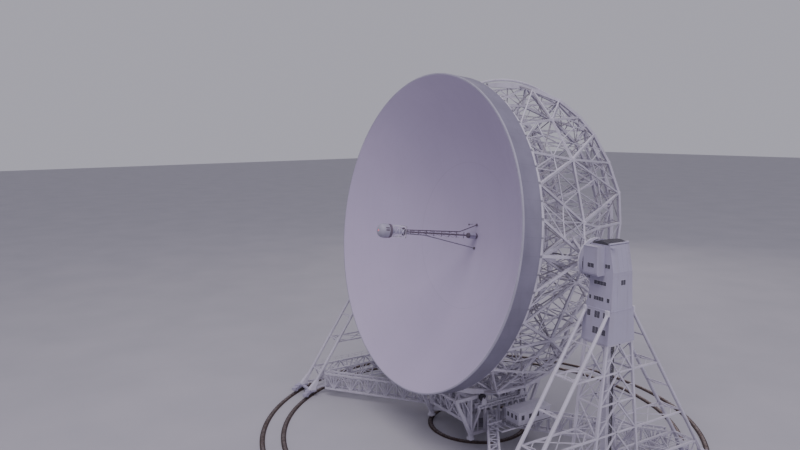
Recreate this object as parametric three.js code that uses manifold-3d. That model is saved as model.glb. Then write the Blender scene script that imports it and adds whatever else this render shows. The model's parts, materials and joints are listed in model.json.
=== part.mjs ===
// A fully steerable radio telescope: a 76 m bowl tilting between two towers that turn on a ring track.
// Every size below is in metres on the full-size telescope. The meshes come out as a 1:10 model in
// millimetres. +Z is up, +X runs along the tilting axis, and the bowl looks towards -Y.
import * as THREE from 'three';
import { mergeVertices } from 'three/addons/utils/BufferGeometryUtils.js';
import Module from 'manifold-3d';

const wasm = await Module();
wasm.setup();

const MM_PER_METRE = 100;
const SEAT = 0.003;

// Ring track and pivot
const OUTER_TRACK_RADIUS = 56.4;
const INNER_TRACK_RADIUS = 51.1;
const CENTRE_TRACK_RADIUS = 12.5;
const TRACK_WIDTH = 1.3;
const TRACK_HEIGHT = 0.45;
const RING_TRACK_FACETS = 48;
const CENTRE_TRACK_FACETS = 24;
const WHEEL_SEAT = 0.003;
const PIVOT_RADIUS = 2.0;
const PIVOT_HEIGHT = 4.6;
const PIVOT_FOOT_RADIUS = 3.2;
const PIVOT_COLLAR_RADIUS = 2.6;
const SLEEVE_BORE_RADIUS = 2.025;
const SLEEVE_RADIUS = 3.0;
const SLEEVE_BOTTOM = 2.4;
const SLEEVE_TOP = 4.4;
const ROUND_FACETS = 24;

// Towers: two upright lattice planes each, at these distances from the centre
const TOWER_PLANES = [41, 47];
const TOWER_MIDDLE = 44;
const TOWER_LEVELS = [7.5, 15.0, 21.6, 28.0, 34.0];
const TOWER_STRUT_LEVELS = [15.0, 28.0];
const TOWER_LEG_BOTTOM_Y = 6.6;
const TOWER_LEG_TOP_Y = 3.55;
const TOWER_CHORD = 0.8;
const TOWER_WEB = 0.45;
const TOWER_THICKNESS = 0.6;
const TOWER_STRUT = 0.5;
const TOWER_TIE = 0.5;
const TOWER_BRACE = 0.36;

// Raking legs: their centre line runs inwards by the slope for each metre of height
const RAKER_Y_AT_ONE_METRE = 30.42;
const RAKER_SLOPE = 0.677;
const RAKER_WIDTH = 0.9;
const RAKER_HALF_DEPTH = 0.575;
const RAKER_TIE = 0.4;
const RAKER_TIE_LEVELS = [6.7, 15.3, 21.8, 28.2, 34.6];

// Base girders between the front and rear feet, and the four girders that run in to the centre
const BASE_LOWER = 2.4;
const BASE_UPPER = 6.8;
const BASE_CHORD = 0.8;
const BASE_WEB = 0.4;
const BASE_THICKNESS = 0.7;
const BASE_BAYS = 6;
const BASE_TIE = 0.5;
const LIFT_SHAFT = { halfX: 1.6, front: -3.0, rear: 0.2, bottom: 1.2 };
const BOGIE_TOP = 2.0;
const GIRDER_BAYS = 5;
const GIRDER_THICKNESS = 0.6;
const GIRDER_END = 0.88;

// Centre frame under the bowl
const CENTRE_PLANE = 8.8;
const CENTRE_LOWER = 2.2;
const CENTRE_UPPER = 11.6;
const CENTRE_OVERHANG = 13.2;
const CENTRE_CHORD = 0.8;
const CENTRE_THICKNESS = 0.7;
const CENTRE_BAYS = 4;
const CENTRE_WEB = 0.5;
const CENTRE_CROSS_LOWER = 4.8;
const CENTRE_WHEEL_RADIUS = 0.42;
const ROLLER = { radius: 0.9, y: 6.1, gap: 0.02, half: 0.5 };
const CRADLE = { reachY: 8, bottom: 9.0, top: 10.1, outerX: 10.9, postHalf: 0.7 };
const DECK = { lowX: 15.4, highX: 21.0, halfY: 8.8, thickness: 0.2 };
const CABIN = { lowX: 15.8, highX: 20.6, lowY: -3.4, highY: 6.6, height: 3.3, eaves: 0.2, roof: 0.3 };

// Where a diametral girder's end posts stand: against the centre frame, and against the base girder
const GIRDER_INNER = { x: CENTRE_PLANE + CENTRE_THICKNESS / 2 + SEAT + GIRDER_END / 2, y: 1.3 };
const GIRDER_OUTER = { x: TOWER_PLANES[0] - BASE_THICKNESS / 2 - SEAT - GIRDER_END / 2, y: 24.5 };

// Tilting axis, housings and bearings
const AXIS_HEIGHT = 50.3;
const REST_ELEVATION = THREE.MathUtils.degToRad(7.8);
const APRON = { bottom: 34.303, top: 41.3, bottomHalf: 3.93, topHalf: 3.33, inner: 40.4, outer: 47.5 };
const HOUSING_LEVELS = [
  { z: 41.2, inner: 40.5, outer: 47.45, half: 3.1 },
  { z: 44.5, inner: 41.3, outer: 47.4, half: 2.95 },
  { z: 49.0, inner: 41.3, outer: 47.4, half: 2.75 },
  { z: 54.4, inner: 41.3, outer: 46.35, half: 2.75 },
];
const HOUSING_INNER = 41.3;
const HOUSING_TOP = 54.4;
const BAY = { inner: 41.4, outer: 45.15, rear: -2.6, front: -4.9, bottom: 48.2, top: 54.1 };
const ROOF = { inner: 41.5, outer: 46.2, half: 2.6, top: 54.85 };
const HOOD_RADIUS = 4.65;
const HOOD_THICKNESS = 0.22;
const HOOD_WIDTH = 1.65;
const HOOD_OVERLAP_DEGREES = 14;
const BEARING_WIDTH = 0.9;
const SHAFT_RADIUS = 1.1;
const SHAFT_FACETS = 16;
const BEARING_BORE_RADIUS = 1.127;
const RACK_RADIUS = 4.1;
const RACK_PLANE = 39.9;
const RACK_THICKNESS = 0.5;
const RACK_WINDOW = { inner: 1.9, outer: 3.35 };
const RACK_SPOKES = 6;

// Bowl
const BOWL_RADIUS = 38.1;
const APERTURE = 18.94;
const BOWL_DEPTH = 18.5;
const VERTEX = APERTURE - BOWL_DEPTH;
const DISH_THICKNESS = 0.15;
const DISH_FACETS = 48;
const DISH_STEPS = [0, 9.5, 19.0, 28.6, BOWL_RADIUS];
const BAND_REAR = 14.0;
const RIM_REAR = 13.4;
const BAND_THICKNESS = 0.32;
const RIM_NODES = 32;
const RIB_COUNT = 8;
const PURLIN_FACETS = 16;
const PURLIN_HALF = 0.3;
const RIB_THICKNESS = 0.35;
const RIB_LOWER = [[3.6, -4.9], [12.2, -3.7], [20.5, -0.4], [28.8, 4.3]];
const RIB_HUB_RADIUS = 3.6;

// Wheel girders behind the bowl
const WHEEL_PLANE = 10;
const WHEEL_RADIUS = 38.2;
const WHEEL_FLANGE = 0.8;
const WHEEL_INNER_RADIUS = 33.2;
const WHEEL_THICKNESS = 0.8;
const WHEEL_REACH = 105;
const WHEEL_BAYS = 12;
const WHEEL_SPOKE = 0.5;
const WHEEL_PAD = 0.9;
const WHEEL_TIE_DEPTH = 0.5;
const WHEEL_TIES = { rim: 0.5, zigzag: 0.4, inner: 0.34, brace: 0.3 };

// Flank trusses beside the wheel girders. The nodes of the outer chord are given by their distance
// from the tilting axis and their angle up from straight behind.
const FLANK_PLANE = 15;
const FLANK_CHORD_WIDTH = 0.72;
const FLANK_GUSSET = 0.84;
const FLANK_CHORD = [
  [36.3, 8.5], [36.3, 23.7], [36.3, 37.5], [36.3, 51], [36.3, 62.5], [36.3, 76], [36.3, 90],
];
const TRUNNION_APEX = 37.4;
const APEX_SIZE = 1.8;

// Mast in front of the bowl
const MAST_KINK = { ahead: 6.1, offset: 0.8 };
const MAST_HEAD = 22.6;
const MAST_TUBE = 0.26;
const MAST_COLLAR = 0.24;
const CAGE_HALF = 1.45;
const CAGE_FRONT = 26.5;
const DRUM_RADIUS = 1.7;

const painted = (color, roughness) => new THREE.MeshStandardMaterial({
  color, roughness, metalness: 0.1, flatShading: true,
});
const STEEL_WHITE = painted(0xcfcad8, 0.55);
const PANEL_WHITE = painted(0xc9c6d4, 0.5);
const DISH_PAINT = painted(0xb9b6c8, 0.45);
const BAND_GREY = painted(0x8d8fa2, 0.5);
const ROOF_GREY = painted(0x5c5a68, 0.8);
const TRACK_BROWN = painted(0x4a3a38, 0.85);
const MACHINE_GREY = painted(0x77747f, 0.6);

const vec = (x, y, z) => new THREE.Vector3(x, y, z);
const lerp = THREE.MathUtils.lerp;
const radians = THREE.MathUtils.degToRad;

function solid(geometry) {
  geometry.deleteAttribute('normal');
  geometry.deleteAttribute('uv');
  const merged = mergeVertices(geometry, 1e-5);
  return new wasm.Manifold(new wasm.Mesh({
    numProp: 3,
    vertProperties: new Float32Array(merged.attributes.position.array),
    triVerts: new Uint32Array(merged.index.array),
  }));
}

const fuse = (parts) => parts.reduce((whole, part) => whole.add(part));

function piece(name, shape, material) {
  const mesh = shape.getMesh();
  const geometry = new THREE.BufferGeometry();
  geometry.setAttribute('position', new THREE.BufferAttribute(mesh.vertProperties, 3));
  geometry.setIndex(new THREE.BufferAttribute(mesh.triVerts, 1));
  geometry.scale(MM_PER_METRE, MM_PER_METRE, MM_PER_METRE);
  geometry.computeVertexNormals();
  const result = new THREE.Mesh(geometry, material);
  result.name = name;
  return result;
}

// A box given by its lowest and highest corners
function block(low, high) {
  const geometry = new THREE.BoxGeometry(high.x - low.x, high.y - low.y, high.z - low.z);
  geometry.translate((low.x + high.x) / 2, (low.y + high.y) / 2, (low.z + high.z) / 2);
  return solid(geometry);
}

function cube(centre, size) {
  return block(centre.clone().subScalar(size / 2), centre.clone().addScalar(size / 2));
}

// A four-sided bar between two points, with its sides level where it lies flat
function bar(start, end, width, depth = width) {
  const along = end.clone().sub(start);
  const length = along.length();
  along.normalize();
  const up = Math.abs(along.z) > 0.95 ? vec(1, 0, 0) : vec(0, 0, 1);
  const across = new THREE.Vector3().crossVectors(up, along).normalize();
  const over = new THREE.Vector3().crossVectors(along, across);
  const geometry = new THREE.BoxGeometry(width, depth, length);
  const middle = start.clone().add(end).multiplyScalar(0.5);
  geometry.applyMatrix4(new THREE.Matrix4().makeBasis(across, over, along).setPosition(middle));
  return solid(geometry);
}

// A round solid about Z from a closed outline of radius and height pairs
function turned(outline, facets) {
  const geometry = new THREE.LatheGeometry(outline.map(([r, z]) => new THREE.Vector2(r, z)), facets);
  geometry.rotateX(Math.PI / 2);
  return solid(geometry);
}

function ringBetween(inner, outer, bottom, top, facets) {
  return turned([[inner, bottom], [outer, bottom], [outer, top], [inner, top], [inner, bottom]], facets);
}

// A round bar along X
function roundX(radius, startX, endX, y, z, facets) {
  const geometry = new THREE.CylinderGeometry(radius, radius, Math.abs(endX - startX), facets);
  geometry.rotateZ(Math.PI / 2);
  geometry.translate((startX + endX) / 2, y, z);
  return solid(geometry);
}

// Moves each side of a flat outline inwards by its own distance, or outwards where that is negative
function inset(points, distances) {
  const count = points.length;
  const area = points.reduce((sum, [x, y], i) => {
    const [nextX, nextY] = points[(i + 1) % count];
    return sum + x * nextY - nextX * y;
  }, 0);
  const turn = Math.sign(area);
  const lines = points.map(([x, y], i) => {
    const [nextX, nextY] = points[(i + 1) % count];
    const length = Math.hypot(nextX - x, nextY - y);
    const normal = [-turn * (nextY - y) / length, turn * (nextX - x) / length];
    return { normal, reach: normal[0] * x + normal[1] * y + distances[i] };
  });
  return lines.map((line, i) => {
    const before = lines[(i + count - 1) % count];
    const cross = before.normal[0] * line.normal[1] - before.normal[1] * line.normal[0];
    return [
      (before.reach * line.normal[1] - line.reach * before.normal[1]) / cross,
      (line.reach * before.normal[0] - before.reach * line.normal[0]) / cross,
    ];
  });
}

// Triangular windows between two chords, with one diagonal in each bay
function trussWindows(lower, upper, chord, web) {
  const windows = [];
  for (let i = 0; i + 1 < lower.length; i += 1) {
    const [a, b, c, d] = [lower[i], lower[i + 1], upper[i + 1], upper[i]];
    if (i % 2 === 0) {
      windows.push(inset([a, b, c], [chord / 2, web / 2, web / 2]));
      windows.push(inset([a, c, d], [web / 2, chord / 2, web / 2]));
    } else {
      windows.push(inset([a, b, d], [chord / 2, web / 2, web / 2]));
      windows.push(inset([b, c, d], [web / 2, chord / 2, web / 2]));
    }
  }
  return windows;
}

// Three triangular windows in each bay of an upright frame, with two diagonals that meet under its top
function peakedWindows(left, right, chord, web) {
  const windows = [];
  for (let i = 0; i + 1 < left.length; i += 1) {
    const [a, b, c, d] = [left[i], left[i + 1], right[i + 1], right[i]];
    const peak = [(b[0] + c[0]) / 2, (b[1] + c[1]) / 2];
    windows.push(inset([a, d, peak], [web / 2, web / 2, web / 2]));
    windows.push(inset([a, peak, b], [web / 2, web / 2, chord / 2]));
    windows.push(inset([d, peak, c], [web / 2, web / 2, chord / 2]));
  }
  return windows;
}

// One four-sided window in each bay, with posts and no diagonals
function openWindows(lower, upper, chord, post) {
  return lower.slice(1).map((corner, i) => inset(
    [lower[i], corner, upper[i + 1], upper[i]],
    [chord / 2, post / 2, chord / 2, post / 2],
  ));
}

// A flat plate with windows, centred on a plane whose two directions are given
function plate(outline, windows, thickness, origin, first, second) {
  const normal = new THREE.Vector3().crossVectors(first, second);
  const placed = new THREE.Matrix4().makeBasis(first, second, normal).setPosition(origin);
  const prism = (points, depth) => {
    const shape = new THREE.Shape(points.map(([p, q]) => new THREE.Vector2(p, q)));
    const geometry = new THREE.ExtrudeGeometry(shape, { depth, bevelEnabled: false });
    geometry.translate(0, 0, -depth / 2);
    geometry.applyMatrix4(placed);
    return solid(geometry);
  };
  const body = prism(outline, thickness);
  return windows.reduce((rest, window) => rest.subtract(prism(window, thickness * 2)), body);
}

const alongX = vec(1, 0, 0);
const alongY = vec(0, 1, 0);
const upZ = vec(0, 0, 1);

// A plate in the upright plane at x, with its directions along Y and Z
const plateAcross = (outline, windows, thickness, x) => plate(
  outline, windows, thickness, vec(x, 0, 0), alongY, upZ,
);

const stations = (from, to, count) => Array.from(
  { length: count + 1 }, (_, i) => lerp(from, to, i / count),
);

const rakerY = (z) => RAKER_Y_AT_ONE_METRE - RAKER_SLOPE * (z - 1);
const rakerInnerY = (z) => rakerY(z) - RAKER_HALF_DEPTH - SEAT;
const towerLegY = (z) => lerp(
  TOWER_LEG_BOTTOM_Y,
  TOWER_LEG_TOP_Y,
  (z - TOWER_LEVELS[0]) / (TOWER_LEVELS[4] - TOWER_LEVELS[0]),
);

function track(radius, facets) {
  const half = TRACK_WIDTH / 2;
  return ringBetween(radius - half, radius + half, 0, TRACK_HEIGHT, facets);
}

// Centre post with a thrust collar that carries the sleeve
function pivot() {
  const outline = [
    [0, 0], [PIVOT_FOOT_RADIUS, 0], [PIVOT_FOOT_RADIUS, 0.6], [PIVOT_COLLAR_RADIUS, 0.9],
    [PIVOT_COLLAR_RADIUS, SLEEVE_BOTTOM - SEAT], [PIVOT_RADIUS, SLEEVE_BOTTOM - SEAT],
    [PIVOT_RADIUS, PIVOT_HEIGHT], [0, PIVOT_HEIGHT],
  ];
  return turned(outline, ROUND_FACETS);
}

// Sleeve on the pivot with four arms out to the corners of the centre frame
function spider() {
  const sleeve = ringBetween(SLEEVE_BORE_RADIUS, SLEEVE_RADIUS, SLEEVE_BOTTOM, SLEEVE_TOP, ROUND_FACETS);
  const reach = CENTRE_PLANE - CENTRE_THICKNESS / 2 - SEAT;
  const arm = { from: SLEEVE_RADIUS - 0.2, to: 14, level: 3.1, width: 0.8, depth: 1.2 };
  const arms = [45, 135, 225, 315].map((degrees) => {
    const along = (distance) => vec(
      distance * Math.cos(radians(degrees)), distance * Math.sin(radians(degrees)), arm.level,
    );
    return bar(along(arm.from), along(arm.to), arm.width, arm.depth);
  });
  const room = block(vec(-reach, -reach, 0), vec(reach, reach, CENTRE_UPPER));
  return fuse([sleeve, ...arms.map((shape) => shape.intersect(room))]);
}

// One side of the centre frame: a lattice plate on two wheeled feet on the centre track
function centreSide(side) {
  const y = stations(-CENTRE_PLANE, CENTRE_PLANE, CENTRE_BAYS);
  const lower = y.map((p) => [p, CENTRE_LOWER]);
  const upper = y.map((p) => [p, CENTRE_UPPER]);
  const half = CENTRE_CHORD / 2;
  const windows = trussWindows(lower, upper, CENTRE_CHORD, CENTRE_WEB);
  for (const end of [-1, 1]) {
    const corners = [
      [end * CENTRE_PLANE, CENTRE_LOWER], [end * CENTRE_PLANE, CENTRE_UPPER],
      [end * CENTRE_OVERHANG, CENTRE_UPPER],
    ];
    windows.push(inset(corners, [0.25, half, 0.25]));
  }
  const outline = [
    [-CENTRE_PLANE - half, CENTRE_LOWER - half], [CENTRE_PLANE + half, CENTRE_LOWER - half],
    [CENTRE_OVERHANG + half, CENTRE_UPPER - half], [CENTRE_OVERHANG + half, CENTRE_UPPER + half],
    [-CENTRE_OVERHANG - half, CENTRE_UPPER + half], [-CENTRE_OVERHANG - half, CENTRE_UPPER - half],
  ];
  const frame = plateAcross(outline, windows, CENTRE_THICKNESS, side * CENTRE_PLANE);
  const shoe = { half: 0.5, bottom: 1.0 };
  const wheelZ = TRACK_HEIGHT + CENTRE_WHEEL_RADIUS + WHEEL_SEAT;
  const feet = [-1, 1].flatMap((end) => {
    const y0 = end * CENTRE_PLANE;
    const x0 = side * CENTRE_PLANE;
    const wheel = new THREE.CylinderGeometry(CENTRE_WHEEL_RADIUS, CENTRE_WHEEL_RADIUS, shoe.half, 12);
    wheel.rotateZ(Math.PI / 2);
    wheel.applyMatrix4(new THREE.Matrix4().makeRotationZ(Math.atan2(y0, x0)));
    wheel.translate(x0, y0, wheelZ);
    return [
      block(
        vec(x0 - shoe.half, y0 - shoe.half, shoe.bottom),
        vec(x0 + shoe.half, y0 + shoe.half, CENTRE_LOWER),
      ),
      solid(wheel),
    ];
  });
  return fuse([frame, ...feet]);
}

// Front or rear side of the centre frame, between the two plates
function centreCross(end) {
  const reach = CENTRE_PLANE - CENTRE_THICKNESS / 2 - SEAT;
  const half = CENTRE_CHORD / 2;
  const x = stations(-reach + half, reach - half, CENTRE_BAYS);
  const lower = x.map((p) => [p, CENTRE_CROSS_LOWER]);
  const upper = x.map((p) => [p, CENTRE_UPPER]);
  const outline = [
    [-reach, CENTRE_CROSS_LOWER - half], [reach, CENTRE_CROSS_LOWER - half],
    [reach, CENTRE_UPPER + half], [-reach, CENTRE_UPPER + half],
  ];
  const windows = trussWindows(lower, upper, CENTRE_CHORD, CENTRE_WEB);
  return plate(outline, windows, CENTRE_THICKNESS, vec(0, end * CENTRE_PLANE, 0), alongX, upZ);
}

// Cradle with two rollers under the rim of a wheel girder
function rollerCradle(side) {
  const reach = WHEEL_RADIUS + ROLLER.radius + ROLLER.gap;
  const rollerZ = AXIS_HEIGHT - Math.sqrt(reach * reach - ROLLER.y * ROLLER.y);
  const nearX = CENTRE_PLANE + CENTRE_THICKNESS / 2 + SEAT;
  const [lowX, highX] = side > 0 ? [nearX, CRADLE.outerX] : [-CRADLE.outerX, -nearX];
  const beam = block(vec(lowX, -CRADLE.reachY, CRADLE.bottom), vec(highX, CRADLE.reachY, CRADLE.top));
  const [from, to] = [WHEEL_PLANE - ROLLER.half, WHEEL_PLANE + ROLLER.half].map((x) => side * x);
  const rollers = [-1, 1].flatMap((end) => {
    const y = end * ROLLER.y;
    return [
      block(
        vec(lowX, y - CRADLE.postHalf, CRADLE.top - 0.1),
        vec(highX, y + CRADLE.postHalf, rollerZ - 0.35),
      ),
      roundX(ROLLER.radius, from, to, y, rollerZ, 12),
    ];
  });
  return fuse([beam, ...rollers]);
}

// Girder from a tower's base to the centre frame
function diametralGirder(side, end) {
  const from = vec(side * GIRDER_INNER.x, end * GIRDER_INNER.y, 0);
  const to = vec(side * GIRDER_OUTER.x, end * GIRDER_OUTER.y, 0);
  const length = from.distanceTo(to);
  const way = to.clone().sub(from).normalize();
  const p = stations(0, length, GIRDER_BAYS);
  const half = BASE_CHORD / 2;
  const lower = p.map((s) => [s, BASE_LOWER]);
  const upper = p.map((s) => [s, BASE_UPPER]);
  const outline = [
    [0, BASE_LOWER - half], [length, BASE_LOWER - half],
    [length, BASE_UPPER + half], [0, BASE_UPPER + half],
  ];
  const windows = trussWindows(lower, upper, BASE_CHORD, BASE_WEB);
  const lattice = plate(outline, windows, GIRDER_THICKNESS, from, way, upZ);
  const posts = [from, to].map((foot) => block(
    vec(foot.x - GIRDER_END / 2, foot.y - GIRDER_END / 2, BASE_LOWER - half),
    vec(foot.x + GIRDER_END / 2, foot.y + GIRDER_END / 2, BASE_UPPER + half),
  ));
  return fuse([lattice, ...posts]);
}

// Box girder between the front and rear feet of one tower
function baseGirder(side) {
  const half = BASE_CHORD / 2;
  const bottom = BASE_LOWER - half;
  const top = BASE_UPPER + half;
  const lowerEnd = rakerInnerY(BASE_LOWER) - 0.6;
  const upperEnd = rakerInnerY(BASE_UPPER) - 0.6;
  const lower = stations(-lowerEnd, lowerEnd, BASE_BAYS).map((p) => [p, BASE_LOWER]);
  const upper = stations(-upperEnd, upperEnd, BASE_BAYS).map((p) => [p, BASE_UPPER]);
  const outline = [
    [-rakerInnerY(bottom), bottom], [rakerInnerY(bottom), bottom],
    [rakerInnerY(top), top], [-rakerInnerY(top), top],
  ];
  const windows = trussWindows(lower, upper, BASE_CHORD, BASE_WEB);
  const planes = TOWER_PLANES.map((x) => plateAcross(outline, windows, BASE_THICKNESS, side * x));
  const ties = upper.filter((_, i) => i % 2 === 0).map(([y, z]) => bar(
    vec(side * TOWER_PLANES[0], y, z), vec(side * TOWER_PLANES[1], y, z), BASE_TIE,
  ));
  return fuse([...planes, ...ties]);
}

// Corner trucks: one on each ring track, joined under the feet of the raking legs
function cornerTrucks(side, end) {
  const wheel = { radius: 0.5, width: 0.5, facets: 8, step: 2.0 };
  const flatRadius = wheel.radius * Math.cos(Math.PI / wheel.facets);
  const wheelZ = TRACK_HEIGHT + flatRadius + WHEEL_SEAT;
  const beam = { half: 2.9, level: 1.35, width: 1.1, depth: 0.75 };
  const foot = { half: 0.75, bottom: 1.5, lap: 0.9, back: 1.2 };
  const link = { level: 1.7, lead: 0.4, width: 0.9, depth: 0.5 };
  const radii = [INNER_TRACK_RADIUS, OUTER_TRACK_RADIUS];
  const footY = rakerY(BOGIE_TOP);
  const parts = TOWER_PLANES.flatMap((x, i) => {
    const y = Math.sqrt(radii[i] ** 2 - x ** 2);
    const angle = Math.atan2(end * y, side * x);
    const onTrack = (step, level) => vec(
      side * x - step * Math.sin(angle), end * y + step * Math.cos(angle), level,
    );
    const wheels = [-wheel.step, wheel.step].map((step) => {
      const centre = onTrack(step, wheelZ);
      const geometry = new THREE.CylinderGeometry(wheel.radius, wheel.radius, wheel.width, wheel.facets);
      geometry.rotateY(Math.PI / wheel.facets);
      geometry.rotateZ(Math.PI / 2);
      geometry.rotateZ(angle);
      geometry.translate(centre.x, centre.y, centre.z);
      return solid(geometry);
    });
    const [low, high] = [end * (footY - foot.back), end * (y + foot.lap)].sort((p, q) => p - q);
    return [
      ...wheels,
      bar(onTrack(-beam.half, beam.level), onTrack(beam.half, beam.level), beam.width, beam.depth),
      block(
        vec(side * x - foot.half, low, foot.bottom),
        vec(side * x + foot.half, high, BOGIE_TOP - SEAT),
      ),
    ];
  });
  const linkY = end * (footY + link.lead);
  const [near, far] = TOWER_PLANES.map((x) => vec(side * x, linkY, link.level));
  return fuse([...parts, bar(near, far, link.width, link.depth)]);
}

// Upright lattice of a tower, with struts out to its raking legs
function towerFrame(side) {
  const half = TOWER_CHORD / 2;
  const bottom = BASE_UPPER + BASE_CHORD / 2 + SEAT;
  const top = APRON.bottom - SEAT;
  const near = TOWER_LEVELS.map((z) => [-towerLegY(z), z]);
  const far = TOWER_LEVELS.map((z) => [towerLegY(z), z]);
  const rise = [[towerLegY(bottom) + half, bottom]];
  for (const level of TOWER_STRUT_LEVELS) {
    const [low, high] = [level - TOWER_STRUT / 2, level + TOWER_STRUT / 2];
    rise.push([towerLegY(low) + half, low], [rakerInnerY(low), low]);
    rise.push([rakerInnerY(high), high], [towerLegY(high) + half, high]);
  }
  rise.push([towerLegY(top) + half, top]);
  const fall = rise.map(([y, z]) => [-y, z]).reverse();
  const windows = peakedWindows(near, far, TOWER_CHORD, TOWER_WEB);
  const planes = TOWER_PLANES.map(
    (x) => plateAcross([...rise, ...fall], windows, TOWER_THICKNESS, side * x),
  );
  const ties = TOWER_LEVELS.flatMap((z) => [-1, 1].map((end) => bar(
    vec(side * TOWER_PLANES[0], end * towerLegY(z), z),
    vec(side * TOWER_PLANES[1], end * towerLegY(z), z),
    TOWER_TIE,
  )));
  const braces = TOWER_LEVELS.slice(1).flatMap((z, i) => [-1, 1].map((end) => {
    const below = TOWER_LEVELS[i];
    const [from, to] = i % 2 === 0 ? TOWER_PLANES : [...TOWER_PLANES].reverse();
    return bar(
      vec(side * from, end * towerLegY(below), below), vec(side * to, end * towerLegY(z), z), TOWER_BRACE,
    );
  }));
  return fuse([...planes, ...ties, ...braces]);
}

// Front or rear pair of raking legs with the ties between them; the heads stand against the apron
function rakingLegs(side, end) {
  const apronSlope = (APRON.bottomHalf - APRON.topHalf) / (APRON.top - APRON.bottom);
  const apronY = (z) => APRON.bottomHalf - apronSlope * (z - APRON.bottom) + SEAT;
  const innerRun = RAKER_Y_AT_ONE_METRE + RAKER_SLOPE - RAKER_HALF_DEPTH;
  const innerTop = (innerRun - apronY(0)) / (RAKER_SLOPE - apronSlope);
  const outline = [
    [rakerY(BOGIE_TOP) - RAKER_HALF_DEPTH, BOGIE_TOP], [rakerY(BOGIE_TOP) + RAKER_HALF_DEPTH, BOGIE_TOP],
    [rakerY(APRON.top) + RAKER_HALF_DEPTH, APRON.top], [apronY(APRON.top), APRON.top],
    [apronY(innerTop), innerTop],
  ].map(([y, z]) => [end * y, z]);
  const legs = TOWER_PLANES.map((x) => plateAcross(outline, [], RAKER_WIDTH, side * x));
  const ties = RAKER_TIE_LEVELS.map((z) => bar(
    vec(side * TOWER_PLANES[0], end * rakerY(z), z),
    vec(side * TOWER_PLANES[1], end * rakerY(z), z),
    RAKER_TIE,
  ));
  return fuse([...legs, ...ties]);
}

function liftShaft(side) {
  const x = side * TOWER_MIDDLE;
  return block(
    vec(x - LIFT_SHAFT.halfX, LIFT_SHAFT.front, LIFT_SHAFT.bottom),
    vec(x + LIFT_SHAFT.halfX, LIFT_SHAFT.rear, APRON.bottom - SEAT),
  );
}

// Sheeted housing on top of a tower: flared apron, body that narrows upwards, and a bay on the front
function motorRoom(side) {
  const across = (outline, inner, outer) => plateAcross(
    outline, [], outer - inner, side * (inner + outer) / 2,
  );
  const apron = across([
    [-APRON.bottomHalf, APRON.bottom], [APRON.bottomHalf, APRON.bottom],
    [APRON.topHalf, APRON.top], [-APRON.topHalf, APRON.top],
  ], APRON.inner, APRON.outer);
  const corners = ({ z, inner, outer, half }) => [inner, outer].flatMap(
    (x) => [-half, half].map((y) => [side * x, y, z]),
  );
  const storeys = HOUSING_LEVELS.slice(1).map((level, i) => wasm.Manifold.hull([
    ...corners(HOUSING_LEVELS[i]), ...corners(level),
  ]));
  const bay = across([
    [BAY.rear, BAY.bottom], [BAY.rear, BAY.top], [BAY.front, BAY.top],
    [BAY.front, BAY.bottom + 0.4], [BAY.front + 0.3, BAY.bottom],
  ], BAY.inner, BAY.outer);
  return fuse([apron, ...storeys, bay]);
}

function motorRoof(side) {
  const [lowX, highX] = [ROOF.inner, ROOF.outer].map((x) => side * x).sort((a, b) => a - b);
  return block(vec(lowX, -ROOF.half, HOUSING_TOP + SEAT), vec(highX, ROOF.half, ROOF.top));
}

// Half drum over the rack, on the inner face of the housing
function rackHood(side) {
  const angles = stations(-HOOD_OVERLAP_DEGREES, 180 + HOOD_OVERLAP_DEGREES, 16).map(radians);
  const arc = (radius) => angles.map((angle) => [
    radius * Math.cos(angle), AXIS_HEIGHT + radius * Math.sin(angle),
  ]);
  const inner = arc(HOOD_RADIUS - HOOD_THICKNESS).reverse();
  const middle = side * (HOUSING_INNER - SEAT - HOOD_WIDTH / 2);
  return plateAcross([...arc(HOOD_RADIUS), ...inner], [], HOOD_WIDTH, middle);
}

function trunnionBearing(side) {
  const hole = stations(0, 2 * Math.PI, SHAFT_FACETS).slice(0, SHAFT_FACETS).map((angle) => [
    BEARING_BORE_RADIUS * Math.cos(angle), AXIS_HEIGHT + BEARING_BORE_RADIUS * Math.sin(angle),
  ]);
  const outline = [
    [-2.3, AXIS_HEIGHT - 2.4], [2.3, AXIS_HEIGHT - 2.4], [1.8, AXIS_HEIGHT + 1.0],
    [1.0, AXIS_HEIGHT + 1.8], [-1.0, AXIS_HEIGHT + 1.8], [-1.8, AXIS_HEIGHT + 1.0],
  ];
  const middle = side * (HOUSING_INNER - SEAT - BEARING_WIDTH / 2);
  return plateAcross(outline, [hole], BEARING_WIDTH, middle);
}

function cabinDeck() {
  const bottom = BASE_UPPER + BASE_CHORD / 2 + SEAT;
  return block(
    vec(DECK.lowX, -DECK.halfY, bottom), vec(DECK.highX, DECK.halfY, bottom + DECK.thickness - SEAT),
  );
}

function controlCabin() {
  const floor = BASE_UPPER + BASE_CHORD / 2 + DECK.thickness + SEAT;
  const top = floor + CABIN.height;
  const room = block(vec(CABIN.lowX, CABIN.lowY, floor), vec(CABIN.highX, CABIN.highY, top));
  const roof = block(
    vec(CABIN.lowX - CABIN.eaves, CABIN.lowY - CABIN.eaves, top - 0.1),
    vec(CABIN.highX + CABIN.eaves, CABIN.highY + CABIN.eaves, top - 0.1 + CABIN.roof),
  );
  return fuse([room, roof]);
}

// The bowl's own frame: x along the tilting axis, ahead along the line of sight, up across it
const at = (x, ahead, up) => vec(x, -ahead, up);

const dishAhead = (radius) => VERTEX + BOWL_DEPTH * (radius / BOWL_RADIUS) ** 2;

// Where a piece of this radius rests on the innermost flat facets of the dish
const dishSeat = (radius) => lerp(VERTEX, dishAhead(DISH_STEPS[1]), radius / DISH_STEPS[1]) + SEAT;

// A round solid about the line of sight, from radius and ahead pairs
function turnedAhead(outline, facets) {
  const geometry = new THREE.LatheGeometry(outline.map(([r, a]) => new THREE.Vector2(r, a)), facets);
  geometry.rotateX(Math.PI);
  return solid(geometry);
}

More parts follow.
